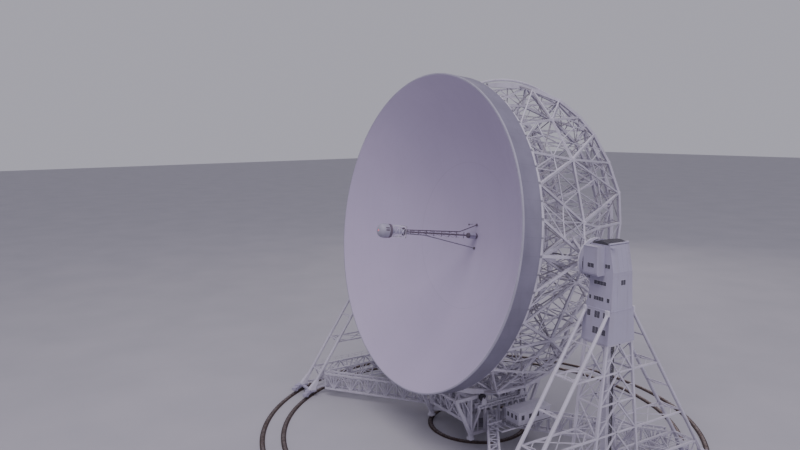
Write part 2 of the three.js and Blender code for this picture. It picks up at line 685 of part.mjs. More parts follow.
function dishSurface() {
  const front = DISH_STEPS.map((r) => [r, dishAhead(r)]).reverse();
  const back = DISH_STEPS.map((r) => [r, dishAhead(r) - DISH_THICKNESS]);
  return turnedAhead([...back, ...front], DISH_FACETS);
}

function rimBand() {
  const inner = BOWL_RADIUS + 0.01;
  const outer = inner + BAND_THICKNESS;
  return turnedAhead([
    [inner, BAND_REAR], [outer, BAND_REAR], [outer, APERTURE], [inner, APERTURE], [inner, BAND_REAR],
  ], DISH_FACETS);
}

// Radial ribs behind the dish, tied by two purlin rings and the rim ring
function backFrame() {
  const clearance = DISH_THICKNESS + SEAT;
  const outerRadius = BOWL_RADIUS - 0.3;
  const inner = RIB_HUB_RADIUS - 0.6;
  const top = DISH_STEPS.slice(1, 4).map((r) => [r, dishAhead(r) - clearance]);
  const low = RIB_LOWER.slice(1, 4).reverse().map(([r, a]) => [r, a - 0.25]);
  const outline = [
    [inner, dishAhead(0) - clearance], ...top, [outerRadius, dishAhead(outerRadius) - clearance - 0.2],
    [outerRadius, RIM_REAR + 0.05], [outerRadius - 1.6, RIM_REAR + 0.05],
    ...low, [inner, RIB_LOWER[0][1] - 0.25],
  ];
  const upperNodes = RIB_LOWER.slice(0, 4).map(([r]) => [r, dishAhead(r) - 0.5]);
  const windows = openWindows(RIB_LOWER.slice(0, 4), upperNodes, 0.45, 0.4);
  windows.push(inset(
    [RIB_LOWER[3], [outerRadius - 1.6, RIM_REAR + 0.3], [outerRadius, RIM_REAR + 0.3],
      [outerRadius, dishAhead(36.8) - 0.5], upperNodes[3]],
    [0.22, 0.2, 0.25, 0.25, 0.2],
  ));
  const ribs = Array.from({ length: RIB_COUNT }, (_, i) => {
    const angle = 2 * Math.PI * i / RIB_COUNT;
    const outward = vec(Math.cos(angle), 0, Math.sin(angle));
    return plate(outline, windows, RIB_THICKNESS, vec(0, 0, 0), outward, vec(0, -1, 0));
  });
  const purlin = ([r, a]) => turnedAhead([
    [r - PURLIN_HALF, a - PURLIN_HALF], [r + PURLIN_HALF, a - PURLIN_HALF],
    [r + PURLIN_HALF, a + PURLIN_HALF], [r - PURLIN_HALF, a + PURLIN_HALF],
    [r - PURLIN_HALF, a - PURLIN_HALF],
  ], PURLIN_FACETS);
  const rim = turnedAhead([
    [BOWL_RADIUS - 0.5, RIM_REAR], [BOWL_RADIUS + 0.25, RIM_REAR], [BOWL_RADIUS + 0.25, BAND_REAR - SEAT],
    [BOWL_RADIUS - 0.5, BAND_REAR - SEAT], [BOWL_RADIUS - 0.5, RIM_REAR],
  ], RIM_NODES);
  const hub = turnedAhead([
    [0, RIB_LOWER[0][1] - 0.4], [RIB_HUB_RADIUS, RIB_LOWER[0][1] - 0.4], [RIB_HUB_RADIUS, -0.4], [0, -0.4],
  ], PURLIN_FACETS);
  return fuse([hub, rim, purlin(RIB_LOWER[1]), purlin(RIB_LOWER[3]), ...ribs]);
}

const onWheel = (radius, degrees) => [
  -radius * Math.cos(radians(degrees)), radius * Math.sin(radians(degrees)),
];

// Curved lattice girder behind the bowl, with spokes forward to the ribs
function wheelGirder(side) {
  const angles = stations(-WHEEL_REACH, WHEEL_REACH, WHEEL_BAYS);
  const fine = stations(-WHEEL_REACH - 0.6, WHEEL_REACH + 0.6, WHEEL_BAYS * 2);
  const rimCentre = WHEEL_RADIUS - WHEEL_FLANGE / 2;
  const lower = angles.map((degrees) => onWheel(WHEEL_INNER_RADIUS, degrees));
  const upper = angles.map((degrees) => onWheel(rimCentre - 0.12, degrees));
  const innerEdge = [-WHEEL_REACH - 0.6, ...angles.slice(1, -1), WHEEL_REACH + 0.6]
    .map((degrees) => onWheel(WHEEL_INNER_RADIUS - 0.3, degrees)).reverse();
  const outline = [...fine.map((degrees) => onWheel(WHEEL_RADIUS, degrees)), ...innerEdge];
  const windows = trussWindows(lower, upper, 0.72, 0.42);
  const ring = plate(outline, windows, WHEEL_THICKNESS, vec(side * WHEEL_PLANE, 0, 0), vec(0, -1, 0), upZ);
  const node = (degrees) => {
    const [a, u] = onWheel(WHEEL_INNER_RADIUS, degrees);
    return at(side * WHEEL_PLANE, a, u);
  };
  const padCentre = ([r, a], sign) => at(
    side * WHEEL_PLANE,
    a - PURLIN_HALF - SEAT - WHEEL_PAD / 2,
    sign * Math.sqrt(r * r - WHEEL_PLANE * WHEEL_PLANE),
  );
  const spokes = [-1, 1].flatMap((sign) => {
    const low = padCentre(RIB_LOWER[1], sign);
    const high = padCentre(RIB_LOWER[3], sign);
    return [
      [node(0), low], [node(sign * 30), low], [node(sign * 30), high], [node(sign * 60), high],
      [node(sign * 90), high],
    ];
  });
  const bars = spokes.map(([from, to]) => bar(from, to, WHEEL_SPOKE));
  const pads = [-1, 1].flatMap((sign) => [RIB_LOWER[1], RIB_LOWER[3]].map(
    (ring) => cube(padCentre(ring, sign), WHEEL_PAD),
  ));
  return fuse([ring, ...pads, ...bars]);
}

// Cross frames between the two wheel girders, with a zigzag at their rims and one at their inner chords
function wheelLacing() {
  const reach = WHEEL_PLANE - WHEEL_THICKNESS / 2 - SEAT;
  const inside = reach - 0.35;
  const rimRadius = WHEEL_RADIUS - WHEEL_TIE_DEPTH;
  const angles = stations(-WHEEL_REACH, WHEEL_REACH, WHEEL_BAYS);
  const node = (x, radius, degrees) => {
    const [a, u] = onWheel(radius, degrees);
    return at(x, a, u);
  };
  const tie = (radius, degrees, width) => bar(
    node(-reach, radius, degrees), node(reach, radius, degrees), width,
  );
  const zigzag = (radius, steps, width) => steps.slice(1).map((degrees, i) => {
    const sign = i % 2 === 0 ? 1 : -1;
    return bar(node(sign * inside, radius, steps[i]), node(-sign * inside, radius, degrees), width);
  });
  // The frames at the two ends stay open where the ribs pass
  const framed = angles.slice(1, -1);
  const frames = framed.flatMap((degrees) => [
    tie(WHEEL_INNER_RADIUS, degrees, WHEEL_TIES.inner),
    ...[-1, 1].map((sign) => bar(
      node(sign * inside, WHEEL_INNER_RADIUS, degrees), node(0, rimRadius, degrees), WHEEL_TIES.brace,
    )),
  ]);
  return fuse([
    ...angles.map((degrees, i) => tie(rimRadius, degrees, i % 2 === 0 ? WHEEL_TIES.rim : WHEEL_TIES.inner)),
    ...zigzag(rimRadius, angles, WHEEL_TIES.zigzag),
    ...frames,
    ...zigzag(WHEEL_INNER_RADIUS, framed, WHEEL_TIES.brace),
  ]);
}

// Side of the bowl's structure, from the rim ring back to a polygonal chord, with the trunnion's bracing
function flankTruss(side) {
  const nodes = {};
  const members = [];
  const put = (name, x, ahead, up) => {
    nodes[name] = at(side * x, ahead, up);
  };
  const join = (width, ...names) => {
    names.slice(1).forEach((name, i) => members.push([names[i], name, width]));
  };
  const rimDepth = 0.8;
  const rimAhead = RIM_REAR - SEAT - rimDepth / 2;
  const rimRadius = BOWL_RADIUS - 0.45;
  const rimAngles = stations(-4, 4, 8).map((k) => 2 * Math.PI * k / RIM_NODES);
  rimAngles.forEach((angle, i) => {
    put(`rim${i - 4}`, rimRadius * Math.cos(angle), rimAhead, rimRadius * Math.sin(angle));
  });
  put('apex', TRUNNION_APEX, 0, 0);
  for (const sign of [-1, 1]) {
    const tag = sign > 0 ? 'T' : 'B';
    FLANK_CHORD.forEach(([radius, degrees], i) => {
      const [a, u] = onWheel(radius, degrees);
      put(`out${tag}${i}`, FLANK_PLANE, a, sign * u);
    });
    put(`mid${tag}1`, 27.0, -9.0, sign * 6.8);
    put(`mid${tag}2`, 25.2, -4.8, sign * 21);
    put(`mid${tag}3`, 21.0, -1.0, sign * 29.6);
    put(`knee${tag}`, 30, -3.0, sign * 3.3);
    put(`heel${tag}`, 21.5, -19.6, sign * 5.7);
    const n = (k) => `rim${sign * k}`;
    join(0.56, n(2), `mid${tag}2`, `out${tag}3`);
    join(0.5, n(3), `mid${tag}2`, `out${tag}2`);
    join(0.5, n(2), `mid${tag}1`, `heel${tag}`, `out${tag}0`);
    join(0.5, `mid${tag}1`, `out${tag}1`);
    join(0.42, `mid${tag}2`, `out${tag}1`);
    join(0.56, `mid${tag}1`, `mid${tag}2`, `mid${tag}3`);
    join(0.5, n(4), `mid${tag}3`, `out${tag}4`);
    join(0.42, `mid${tag}3`, `out${tag}6`);
    join(0.7, 'rim0', `knee${tag}`, `heel${tag}`);
    join(0.6, 'apex', `knee${tag}`);
    join(0.5, 'apex', n(1));
  }
  join(0.6, 'apex', 'rim0');
  const strip = (points, half) => [
    ...points.map(([radius, angle]) => [radius + half, angle]),
    ...[...points].reverse().map(([radius, angle]) => [radius - half, angle]),
  ];
  const rimStrip = strip(rimAngles.map((angle) => [rimRadius, angle]), 0.45);
  const rimChord = plate(
    rimStrip.map(([r, angle]) => [side * r * Math.cos(angle), r * Math.sin(angle)]),
    [], rimDepth, at(0, rimAhead, 0), alongX, upZ,
  );
  const below = FLANK_CHORD.map(([radius, degrees]) => [radius, -degrees]).reverse();
  const outerStrip = strip([...below, ...FLANK_CHORD], FLANK_CHORD_WIDTH / 2);
  const outerChord = plate(
    outerStrip.map(([r, degrees]) => onWheel(r, degrees)),
    [], FLANK_CHORD_WIDTH, vec(side * FLANK_PLANE, 0, 0), vec(0, -1, 0), upZ,
  );
  const bars = members.map(([from, to, width]) => bar(nodes[from], nodes[to], width));
  const joined = Object.keys(nodes).filter((name) => /mid|knee|heel/.test(name));
  const gussets = joined.map((name) => cube(nodes[name], FLANK_GUSSET));
  return fuse([rimChord, outerChord, cube(nodes.apex, APEX_SIZE), ...gussets, ...bars]);
}

// Trunnion shaft with the toothed tilting rack on it
function trunnionRack(side) {
  const apexFace = TRUNNION_APEX + APEX_SIZE / 2;
  const shaftEnds = [apexFace + SEAT, HOUSING_INNER - 0.1].map((x) => side * x);
  const shaft = roundX(SHAFT_RADIUS, ...shaftEnds, 0, 0, SHAFT_FACETS);
  const point = (radius, degrees) => [
    radius * Math.cos(radians(degrees)), radius * Math.sin(radians(degrees)),
  ];
  const corners = stations(0, 360, ROUND_FACETS).slice(0, ROUND_FACETS);
  const outline = corners.map((degrees) => point(RACK_RADIUS, degrees));
  const windows = Array.from({ length: RACK_SPOKES }, (_, i) => {
    const first = i * 360 / RACK_SPOKES;
    return [
      point(RACK_WINDOW.inner, first + 15), point(RACK_WINDOW.outer, first + 9),
      point(RACK_WINDOW.outer, first + 51), point(RACK_WINDOW.inner, first + 45),
    ];
  });
  return fuse([shaft, plateAcross(outline, windows, RACK_THICKNESS, side * RACK_PLANE)]);
}

// Mast in front of the dish: four tubes that splay at the foot, and a column between them
function focusMast() {
  const kink = MAST_KINK;
  const foot = { offset: 2.8, size: 0.5 };
  const head = { ahead: MAST_HEAD, offset: 0.45 };
  const tubes = [0, 90, 180, 270].flatMap((degrees) => {
    const turn = (offset, ahead) => at(
      offset * Math.cos(radians(degrees)), ahead, offset * Math.sin(radians(degrees)),
    );
    const footAhead = dishSeat(foot.offset + foot.size * 0.55) + foot.size / 2;
    return [
      bar(turn(head.offset, head.ahead), turn(kink.offset, kink.ahead - 0.1), MAST_TUBE),
      bar(turn(kink.offset, kink.ahead + 0.1), turn(foot.offset, footAhead), MAST_TUBE),
      cube(turn(foot.offset, footAhead), foot.size),
    ];
  });
  const column = bar(at(0, 1.0, 0), at(0, head.ahead, 0), 0.44);
  const drum = turnedAhead([[0, dishSeat(0.7)], [0.7, dishSeat(0.7)], [0.7, 3.4], [0, 3.4]], 12);
  const collars = [kink.ahead, head.ahead].map((ahead) => turnedAhead([
    [0, ahead - MAST_COLLAR / 2], [1.0, ahead - MAST_COLLAR / 2],
    [1.0, ahead + MAST_COLLAR / 2], [0, ahead + MAST_COLLAR / 2],
  ], 8));
  return fuse([column, drum, ...collars, ...tubes]);
}

// Open cage that carries the receiver drum at the focus
function focusCage() {
  const half = CAGE_HALF;
  const rear = MAST_HEAD + MAST_COLLAR / 2 + SEAT;
  const front = CAGE_FRONT;
  const slab = (ahead, thickness) => block(
    at(-half, ahead + thickness, -half), at(half, ahead, half),
  );
  const corner = half - 0.13;
  const posts = [-1, 1].flatMap((h) => [-1, 1].map((v) => bar(
    at(h * corner, rear + 0.1, v * corner), at(h * corner, front - 0.1, v * corner), 0.22,
  )));
  return fuse([slab(rear, 0.25), slab(front - 0.25, 0.25), ...posts]);
}

function focusDrum() {
  const rear = CAGE_FRONT + SEAT;
  return turnedAhead([
    [0, rear], [1.62, rear], [DRUM_RADIUS, rear + 0.2], [DRUM_RADIUS, rear + 1.9], [1.45, rear + 2.6],
    [0.9, rear + 3.0],
    [0, rear + 3.1],
  ], 12);
}

const telescope = new THREE.Group();

const fixedBase = new THREE.Group();
fixedBase.add(
  piece('outer_track', track(OUTER_TRACK_RADIUS, RING_TRACK_FACETS), TRACK_BROWN),
  piece('inner_track', track(INNER_TRACK_RADIUS, RING_TRACK_FACETS), TRACK_BROWN),
  piece('centre_track', track(CENTRE_TRACK_RADIUS, CENTRE_TRACK_FACETS), TRACK_BROWN),
  piece('centre_pivot', pivot(), MACHINE_GREY),
);

const turntable = new THREE.Group();
turntable.add(
  piece('pivot_spider', spider(), STEEL_WHITE),
  piece('centre_frame_front', centreCross(-1), STEEL_WHITE),
  piece('centre_frame_rear', centreCross(1), STEEL_WHITE),
  piece('cabin_deck', cabinDeck(), STEEL_WHITE),
  piece('control_cabin', controlCabin(), PANEL_WHITE),
);

const bowl = new THREE.Group();
bowl.position.set(0, 0, AXIS_HEIGHT * MM_PER_METRE);
bowl.rotation.x = -REST_ELEVATION;
bowl.add(
  piece('dish_surface', dishSurface(), DISH_PAINT),
  piece('rim_band', rimBand(), BAND_GREY),
  piece('back_ribs', backFrame(), STEEL_WHITE),
  piece('wheel_lacing', wheelLacing(), STEEL_WHITE),
  piece('focus_mast', focusMast(), STEEL_WHITE),
  piece('focus_cage', focusCage(), STEEL_WHITE),
  piece('focus_drum', focusDrum(), PANEL_WHITE),
);

for (const [hand, side] of [['right', 1], ['left', -1]]) {
  turntable.add(
    piece(`centre_frame_${hand}`, centreSide(side), STEEL_WHITE),
    piece(`roller_cradle_${hand}`, rollerCradle(side), MACHINE_GREY),
    piece(`base_girder_${hand}`, baseGirder(side), STEEL_WHITE),
    piece(`tower_frame_${hand}`, towerFrame(side), STEEL_WHITE),
    piece(`lift_shaft_${hand}`, liftShaft(side), PANEL_WHITE),
    piece(`motor_room_${hand}`, motorRoom(side), PANEL_WHITE),
    piece(`motor_roof_${hand}`, motorRoof(side), ROOF_GREY),
    piece(`rack_hood_${hand}`, rackHood(side), PANEL_WHITE),
    piece(`trunnion_bearing_${hand}`, trunnionBearing(side), MACHINE_GREY),
  );
  for (const [way, end] of [['front', -1], ['rear', 1]]) {
    turntable.add(
      piece(`raking_legs_${way}_${hand}`, rakingLegs(side, end), STEEL_WHITE),
      piece(`corner_trucks_${way}_${hand}`, cornerTrucks(side, end), PANEL_WHITE),
      piece(`diametral_girder_${way}_${hand}`, diametralGirder(side, end), STEEL_WHITE),
    );
  }
  bowl.add(
    piece(`wheel_girder_${hand}`, wheelGirder(side), STEEL_WHITE),
    piece(`flank_truss_${hand}`, flankTruss(side), STEEL_WHITE),
    piece(`trunnion_rack_${hand}`, trunnionRack(side), MACHINE_GREY),
  );
}

telescope.add(fixedBase, turntable, bowl);

export default telescope;
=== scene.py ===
"""Looks of a steerable radio telescope: bowl, lattice, towers, girders and ring tracks.

Sizes are in metres at full size and come out as the 1:10 model. +Z is up, +X runs along the
tilting axis, and the bowl looks towards -Y, raised a little above the horizon.
"""

import json
import math

import bpy
from mathutils import Matrix, Vector


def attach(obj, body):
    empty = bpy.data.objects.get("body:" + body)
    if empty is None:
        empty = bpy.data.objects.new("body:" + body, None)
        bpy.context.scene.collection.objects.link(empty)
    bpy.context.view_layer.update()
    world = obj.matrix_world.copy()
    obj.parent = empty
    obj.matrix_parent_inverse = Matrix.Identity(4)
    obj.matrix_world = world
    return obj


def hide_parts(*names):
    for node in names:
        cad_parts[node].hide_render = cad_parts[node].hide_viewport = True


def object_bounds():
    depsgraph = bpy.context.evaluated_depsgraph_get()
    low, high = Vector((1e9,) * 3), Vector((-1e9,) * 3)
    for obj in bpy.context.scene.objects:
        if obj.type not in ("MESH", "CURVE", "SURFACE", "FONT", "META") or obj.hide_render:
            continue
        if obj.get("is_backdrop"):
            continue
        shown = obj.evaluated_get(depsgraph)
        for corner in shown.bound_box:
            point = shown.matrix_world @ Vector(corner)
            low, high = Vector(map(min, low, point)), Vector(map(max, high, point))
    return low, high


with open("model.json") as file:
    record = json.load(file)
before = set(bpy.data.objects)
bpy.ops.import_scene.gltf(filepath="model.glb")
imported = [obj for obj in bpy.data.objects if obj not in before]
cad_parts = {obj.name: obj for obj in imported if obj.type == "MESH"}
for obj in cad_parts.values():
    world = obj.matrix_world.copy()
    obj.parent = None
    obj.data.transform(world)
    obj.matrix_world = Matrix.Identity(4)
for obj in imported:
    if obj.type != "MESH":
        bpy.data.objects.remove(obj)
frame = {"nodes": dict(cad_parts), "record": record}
cad_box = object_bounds()

SCALE = 0.1
SEAT = 0.003
SHARP_ANGLE = math.radians(32)

AXIS_HEIGHT = 50.3
TILT = math.radians(7.8)

TRACK_RADII = {"outer_track": 56.4, "inner_track": 51.1, "centre_track": 12.5}
TRACK_HALF = 0.65
TRACK_HEIGHT = 0.45

BOWL_RADIUS = 38.1
APERTURE = 18.94
BOWL_DEPTH = 18.5
BAND_REAR = 14.0
RIM_REAR = 13.4
RIM_NODES = 32
RIB_LOWER = [(3.6, -4.9), (12.2, -3.7), (20.5, -0.4), (28.8, 4.3)]

WHEEL_PLANE = 10.0
WHEEL_RADIUS = 38.2
WHEEL_INNER_RADIUS = 33.2
WHEEL_REACH = 105.0
WHEEL_BAYS = 12
FLANK_PLANE = 15.0
# Outer chord of a flank: distance from the tilting axis, and degrees up from straight behind
FLANK_CHORD = [(35.4, 11.5), (36.0, 24.2), (35.5, 38.7), (35.6, 53.3), (35.8, 64.3), (36.2, 77), (36.4, 91)]

TOWER_PLANES = (41.0, 47.0)
TOWER_LEVELS = [7.5, 15.0, 21.6, 28.0, 34.0]
TOWER_STRUT_LEVELS = [15.0, 28.0]
TOWER_MIDDLE = 44.0
BASE_LOWER = 2.4
BASE_UPPER = 6.8

APRON_OUTER = 47.5
APRON_BOTTOM, APRON_TOP = 34.303, 41.3
APRON_BOTTOM_HALF, APRON_TOP_HALF = 3.93, 3.33
# Housing's body: height, outer side and half depth
HOUSING_LEVELS = [(41.2, 47.45, 3.1), (44.5, 47.4, 2.95), (49.0, 47.4, 2.75), (54.4, 46.35, 2.75)]
HOUSING_INNER = 41.3
BAY_INNER, BAY_OUTER = 41.4, 45.15
BAY_BOTTOM, BAY_TOP = 48.2, 54.1
BAY_FRONT = 4.9

# Thickness of the lattice bars
TOWER_LEG, TOWER_STRUT, TOWER_TIE, TOWER_WEB, TOWER_BRACE = 0.52, 0.36, 0.34, 0.3, 0.26
GIRDER_CHORD, GIRDER_WEB = 0.46, 0.26
FLANK_BAR, RIM_BAR = 0.72, 0.46

# Centre frame's planes, its overhang and its top, and the walkway inside it
CENTRE_PLANE, CENTRE_OVERHANG, CENTRE_TOP = 8.8, 13.2, 11.6
WALK_OUTER, WALK_INNER, WALK_BOTTOM, WALK_TOP = 8.3, 6.9, 7.0, 7.12

# Mast: where it bends, where it ends, and half its width there
MAST_KINK, MAST_HEAD = 6.1, 22.6
KINK_HALF, HEAD_HALF = 0.8, 0.45


# Camera: ahead of the bowl and to its right, a little above the tilting axis

def add_camera():
    yaw, pitch, roll = (math.radians(d) for d in (58.956, 7.911, -0.666))
    forward = Vector((-math.sin(yaw) * math.cos(pitch), math.cos(yaw) * math.cos(pitch), -math.sin(pitch)))
    level = Vector((math.cos(yaw), math.sin(yaw), 0))
    upright = level.cross(forward)
    right = level * math.cos(roll) + upright * math.sin(roll)
    up = upright * math.cos(roll) - level * math.sin(roll)
    camera = bpy.data.objects.new("camera", bpy.data.cameras.new("camera"))
    camera.data.sensor_width = 36.0
    camera.data.lens = 31.479
    camera.data.clip_start = 0.1
    camera.data.clip_end = 400.0
    turn = Matrix((right, up, -forward)).transposed().to_4x4()
    camera.matrix_world = Matrix.Translation((14.200, -10.885, 7.809)) @ turn
    bpy.context.scene.collection.objects.link(camera)
    bpy.context.scene.camera = camera


add_camera()


# Materials, with patterns sized in model metres

SHEET_TURN = 2 * math.pi / 64
SEAM_WIDTH = 0.006
RING_PITCH = 0.19
MARKED_RING = 1.85


def add_node(tree, kind, settings=None, **inputs):
    """A node with its inputs linked or set. i0, i1 and so on name an input by its number."""
    made = tree.nodes.new(kind)
    for key, value in (settings or {}).items():
        setattr(made, key, value)
    for key, value in inputs.items():
        socket = made.inputs[int(key[1:])] if key[0] == "i" and key[1:].isdigit() else made.inputs[key]
        if isinstance(value, bpy.types.NodeSocket):
            tree.links.new(value, socket)
        else:
            socket.default_value = value
    return made


def maths(tree, operation, *values):
    inputs = {f"i{k}": value for k, value in enumerate(values)}
    return add_node(tree, "ShaderNodeMath", {"operation": operation}, **inputs).outputs[0]


def new_material(name):
    """A material, its nodes, its shader and the object's own coordinates."""
    material = bpy.data.materials.new(name)
    material.use_nodes = True
    tree = material.node_tree
    return material, tree, tree.nodes["Principled BSDF"], add_node(tree, "ShaderNodeTexCoord").outputs["Object"]


def finish(tree, bsdf, colour, roughness):
    tree.links.new(colour, bsdf.inputs["Base Color"])
    tree.links.new(roughness, bsdf.inputs["Roughness"])


def noise(tree, coordinates, scale, detail=4.0, stretch=None):
    if stretch:
        coordinates = add_node(tree, "ShaderNodeMapping", Vector=coordinates, Scale=stretch).outputs[0]
    return add_node(tree, "ShaderNodeTexNoise", Vector=coordinates, Scale=scale, Detail=detail).outputs["Fac"]


def ramp(tree, factor, low, high, start=0.3, end=0.7):
    made = add_node(tree, "ShaderNodeValToRGB", Fac=factor)
    for stop, position, colour in zip(made.color_ramp.elements, (start, end), (low, high)):
        stop.position = position
        stop.color = (*colour, 1)
    return made.outputs["Color"]


def spread(tree, factor, low, high, start=0.0, end=1.0):
    return add_node(tree, "ShaderNodeMapRange", i0=factor, i1=start, i2=end, i3=low, i4=high).outputs[0]


def blend_colours(tree, factor, *colours):
    colours = {f"i{6 + k}": c if isinstance(c, bpy.types.NodeSocket) else (*c, 1) for k, c in enumerate(colours)}
    return add_node(tree, "ShaderNodeMix", {"data_type": "RGBA"}, i0=factor, **colours).outputs[2]


def shade(colour, amount):
    return tuple(min(1.0, c * amount) for c in colour)


def bumped(tree, bsdf, height, strength, distance=0.004):
    made = add_node(tree, "ShaderNodeBump", Strength=strength, Distance=distance, Height=height)
    tree.links.new(made.outputs[0], bsdf.inputs["Normal"])


def weathered_paint(name, colour, dirt, roughness=0.5, streaks=0.25, patch_scale=1.2, metallic=0.0):
    """Paint on steel: soft patches, streaks that run down, and a fine orange-peel bump."""
    material, tree, bsdf, place = new_material(name)
    patches = ramp(tree, noise(tree, place, patch_scale, 5), shade(colour, 0.9), shade(colour, 1.05))
    runs = spread(tree, noise(tree, place, 6.0, 6, (1.0, 1.0, 0.12)), 0.0, streaks, 0.5, 0.75)
    specks = spread(tree, noise(tree, place, 38.0, 8), 0.0, 0.5, 0.66, 0.78)
    dirty = blend_colours(tree, runs, patches, dirt)
    finish(tree, bsdf, blend_colours(tree, specks, dirty, shade(dirt, 0.8)),
           spread(tree, noise(tree, place, 9.0), roughness - 0.08, roughness + 0.12))
    bsdf.inputs["Metallic"].default_value = metallic
    bumped(tree, bsdf, noise(tree, place, 160.0, 3), 0.12)
    return material


def bowl_coordinates(tree, place):
    """Distance from the line of sight and turn about it, in the bowl's own frame."""
    height = AXIS_HEIGHT * SCALE
    mapped = add_node(
        tree, "ShaderNodeMapping", Vector=place, Rotation=(TILT, 0, 0),
        Location=(0, height * math.sin(TILT), -height * math.cos(TILT)),
    ).outputs[0]
    parts = add_node(tree, "ShaderNodeSeparateXYZ", i0=mapped).outputs
    squares = [maths(tree, "MULTIPLY", parts[k], parts[k]) for k in (0, 2)]
    return maths(tree, "SQRT", maths(tree, "ADD", *squares)), maths(tree, "ARCTAN2", parts[2], parts[0])


def lines_at(tree, value, pitch, weight=None):
    """1 on lines at every multiple of the pitch and 0 between them."""
    folded = maths(tree, "PINGPONG", value, pitch / 2)
    if weight is not None:
        folded = maths(tree, "MULTIPLY", folded, weight)
    return spread(tree, folded, 1.0, 0.0, SEAM_WIDTH * 0.3, SEAM_WIDTH)


def dish_paint(name, colour, seam_depth):
    """The dish's painted sheets: rings and rays of faint seams, one marked ring, soft weather marks."""
    material, tree, bsdf, place = new_material(name)
    radius, angle = bowl_coordinates(tree, place)
    seams = maths(tree, "MAXIMUM", lines_at(tree, radius, RING_PITCH), lines_at(tree, angle, SHEET_TURN, radius))
    patches = ramp(tree, noise(tree, place, 0.55, 5), shade(colour, 0.96), shade(colour, 1.03), 0.25, 0.75)
    runs = spread(tree, noise(tree, place, 4.0, 5, (1.0, 1.0, 0.1)), 0.0, 0.14, 0.5, 0.8)
    stained = blend_colours(tree, runs, patches, shade(colour, 0.84))
    off_ring = maths(tree, "ABSOLUTE", maths(tree, "SUBTRACT", radius, MARKED_RING))
    marked = blend_colours(tree, spread(tree, off_ring, 0.3, 0.0, 0.004, 0.012), stained, shade(colour, 0.72))
    finish(tree, bsdf, blend_colours(tree, maths(tree, "MULTIPLY", seams, seam_depth), marked, shade(colour, 0.74)),
           spread(tree, noise(tree, place, 3.0), 0.42, 0.6))
    bumped(tree, bsdf, noise(tree, place, 5.0, 4), 0.05)
    return material


def band_paint(name, colour):
    """The rim band's grey sheets with a joint every few metres round it."""
    material, tree, bsdf, place = new_material(name)
    radius, angle = bowl_coordinates(tree, place)
    joints = lines_at(tree, angle, SHEET_TURN, radius)
    patches = ramp(tree, noise(tree, place, 1.6, 6), shade(colour, 0.88), shade(colour, 1.08))
    runs = spread(tree, noise(tree, place, 7.0, 6, (1.0, 1.0, 0.15)), 0.0, 0.3, 0.5, 0.78)
    stained = blend_colours(tree, runs, patches, shade(colour, 0.66))
    finish(tree, bsdf, blend_colours(tree, maths(tree, "MULTIPLY", joints, 0.22), stained, shade(colour, 0.55)),
           spread(tree, noise(tree, place, 5.0), 0.4, 0.6))
    bumped(tree, bsdf, maths(tree, "MULTIPLY_ADD", noise(tree, place, 14.0, 4), 0.3, joints), 0.15)
    return material


def dark_glass(name):
    material, tree, bsdf, place = new_material(name)
    finish(tree, bsdf, ramp(tree, noise(tree, place, 14.0), (0.075, 0.07, 0.095), (0.12, 0.112, 0.145)),
           spread(tree, noise(tree, place, 30.0), 0.06, 0.2))
    return material


def red_lamp(name):
    material, tree, bsdf, place = new_material(name)
    tree.links.new(ramp(tree, noise(tree, place, 60.0), (0.42, 0.02, 0.03), (0.6, 0.05, 0.05)),
                   bsdf.inputs["Base Color"])
    bsdf.inputs["Roughness"].default_value = 0.2
    bsdf.inputs["Emission Color"].default_value = (1.0, 0.22, 0.3, 1)
    bsdf.inputs["Emission Strength"].default_value = 0.9
    return material


def worn_rail(name):
    material, tree, bsdf, place = new_material(name)
    finish(tree, bsdf, ramp(tree, noise(tree, place, 12.0, 7), (0.1, 0.06, 0.05), (0.26, 0.22, 0.22)),
           spread(tree, noise(tree, place, 20.0), 0.3, 0.65))
    bsdf.inputs["Metallic"].default_value = 0.75
    bumped(tree, bsdf, noise(tree, place, 90.0, 6), 0.3, 0.003)
    return material


DIRT = (0.3, 0.26, 0.28)

# Paints have a colour, the dirt's colour, roughness, strength of the streaks, size of the patches, metal
LOOKS = {name: make(name, *values) for name, make, *values in (
    ("lattice_paint", weathered_paint, (0.6, 0.57, 0.67), DIRT, 0.5, 0.25),
    # A darker copy of the lattice paint for the thin bars: painted shade for the shadow inside the lattice, with
    # stronger dirt streaks
    ("fine_paint", weathered_paint, (0.42, 0.39, 0.45), DIRT, 0.6, 0.35, 2.0),
    ("panel_paint", weathered_paint, (0.43, 0.405, 0.53), (0.33, 0.3, 0.34), 0.45, 0.35, 0.8),
    ("dish_paint", dish_paint, (0.51, 0.445, 0.61), 0.12),
    ("band_paint", band_paint, (0.21, 0.195, 0.27)),
    ("lip_paint", weathered_paint, (0.4, 0.38, 0.48), (0.25, 0.23, 0.27), 0.5, 0.2, 2.0),
    ("roof_felt", weathered_paint, (0.075, 0.07, 0.09), (0.16, 0.15, 0.17), 0.85, 0.4, 3.0),
    ("track_brown", weathered_paint, (0.06, 0.038, 0.036), (0.13, 0.09, 0.08), 0.85, 0.5, 4.0),
    ("machine_grey", weathered_paint, (0.27, 0.255, 0.31), (0.1, 0.09, 0.1), 0.5, 0.5, 3.0, 0.1),
    ("mast_paint", weathered_paint, (0.15, 0.12, 0.16), (0.07, 0.05, 0.06), 0.5, 0.4, 3.0),
    ("light_trim", weathered_paint, (0.64, 0.61, 0.71), (0.35, 0.32, 0.36), 0.4, 0.15, 2.0),
    ("dark_steel", weathered_paint, (0.05, 0.045, 0.06), (0.1, 0.07, 0.06), 0.6, 0.4, 5.0, 0.3),
    ("deck_grid", weathered_paint, (0.3, 0.285, 0.33), (0.14, 0.12, 0.13), 0.7, 0.4, 4.0, 0.2),
    ("rail_steel", worn_rail),
    ("window_glass", dark_glass),
    ("red_lamp", red_lamp),
)}

for part in frame["record"]["subparts"]:
    node = frame["nodes"][part["node"]]
    node.data.materials.clear()
    node.data.materials.append(LOOKS[part["material_slot"]])


# Mesh building

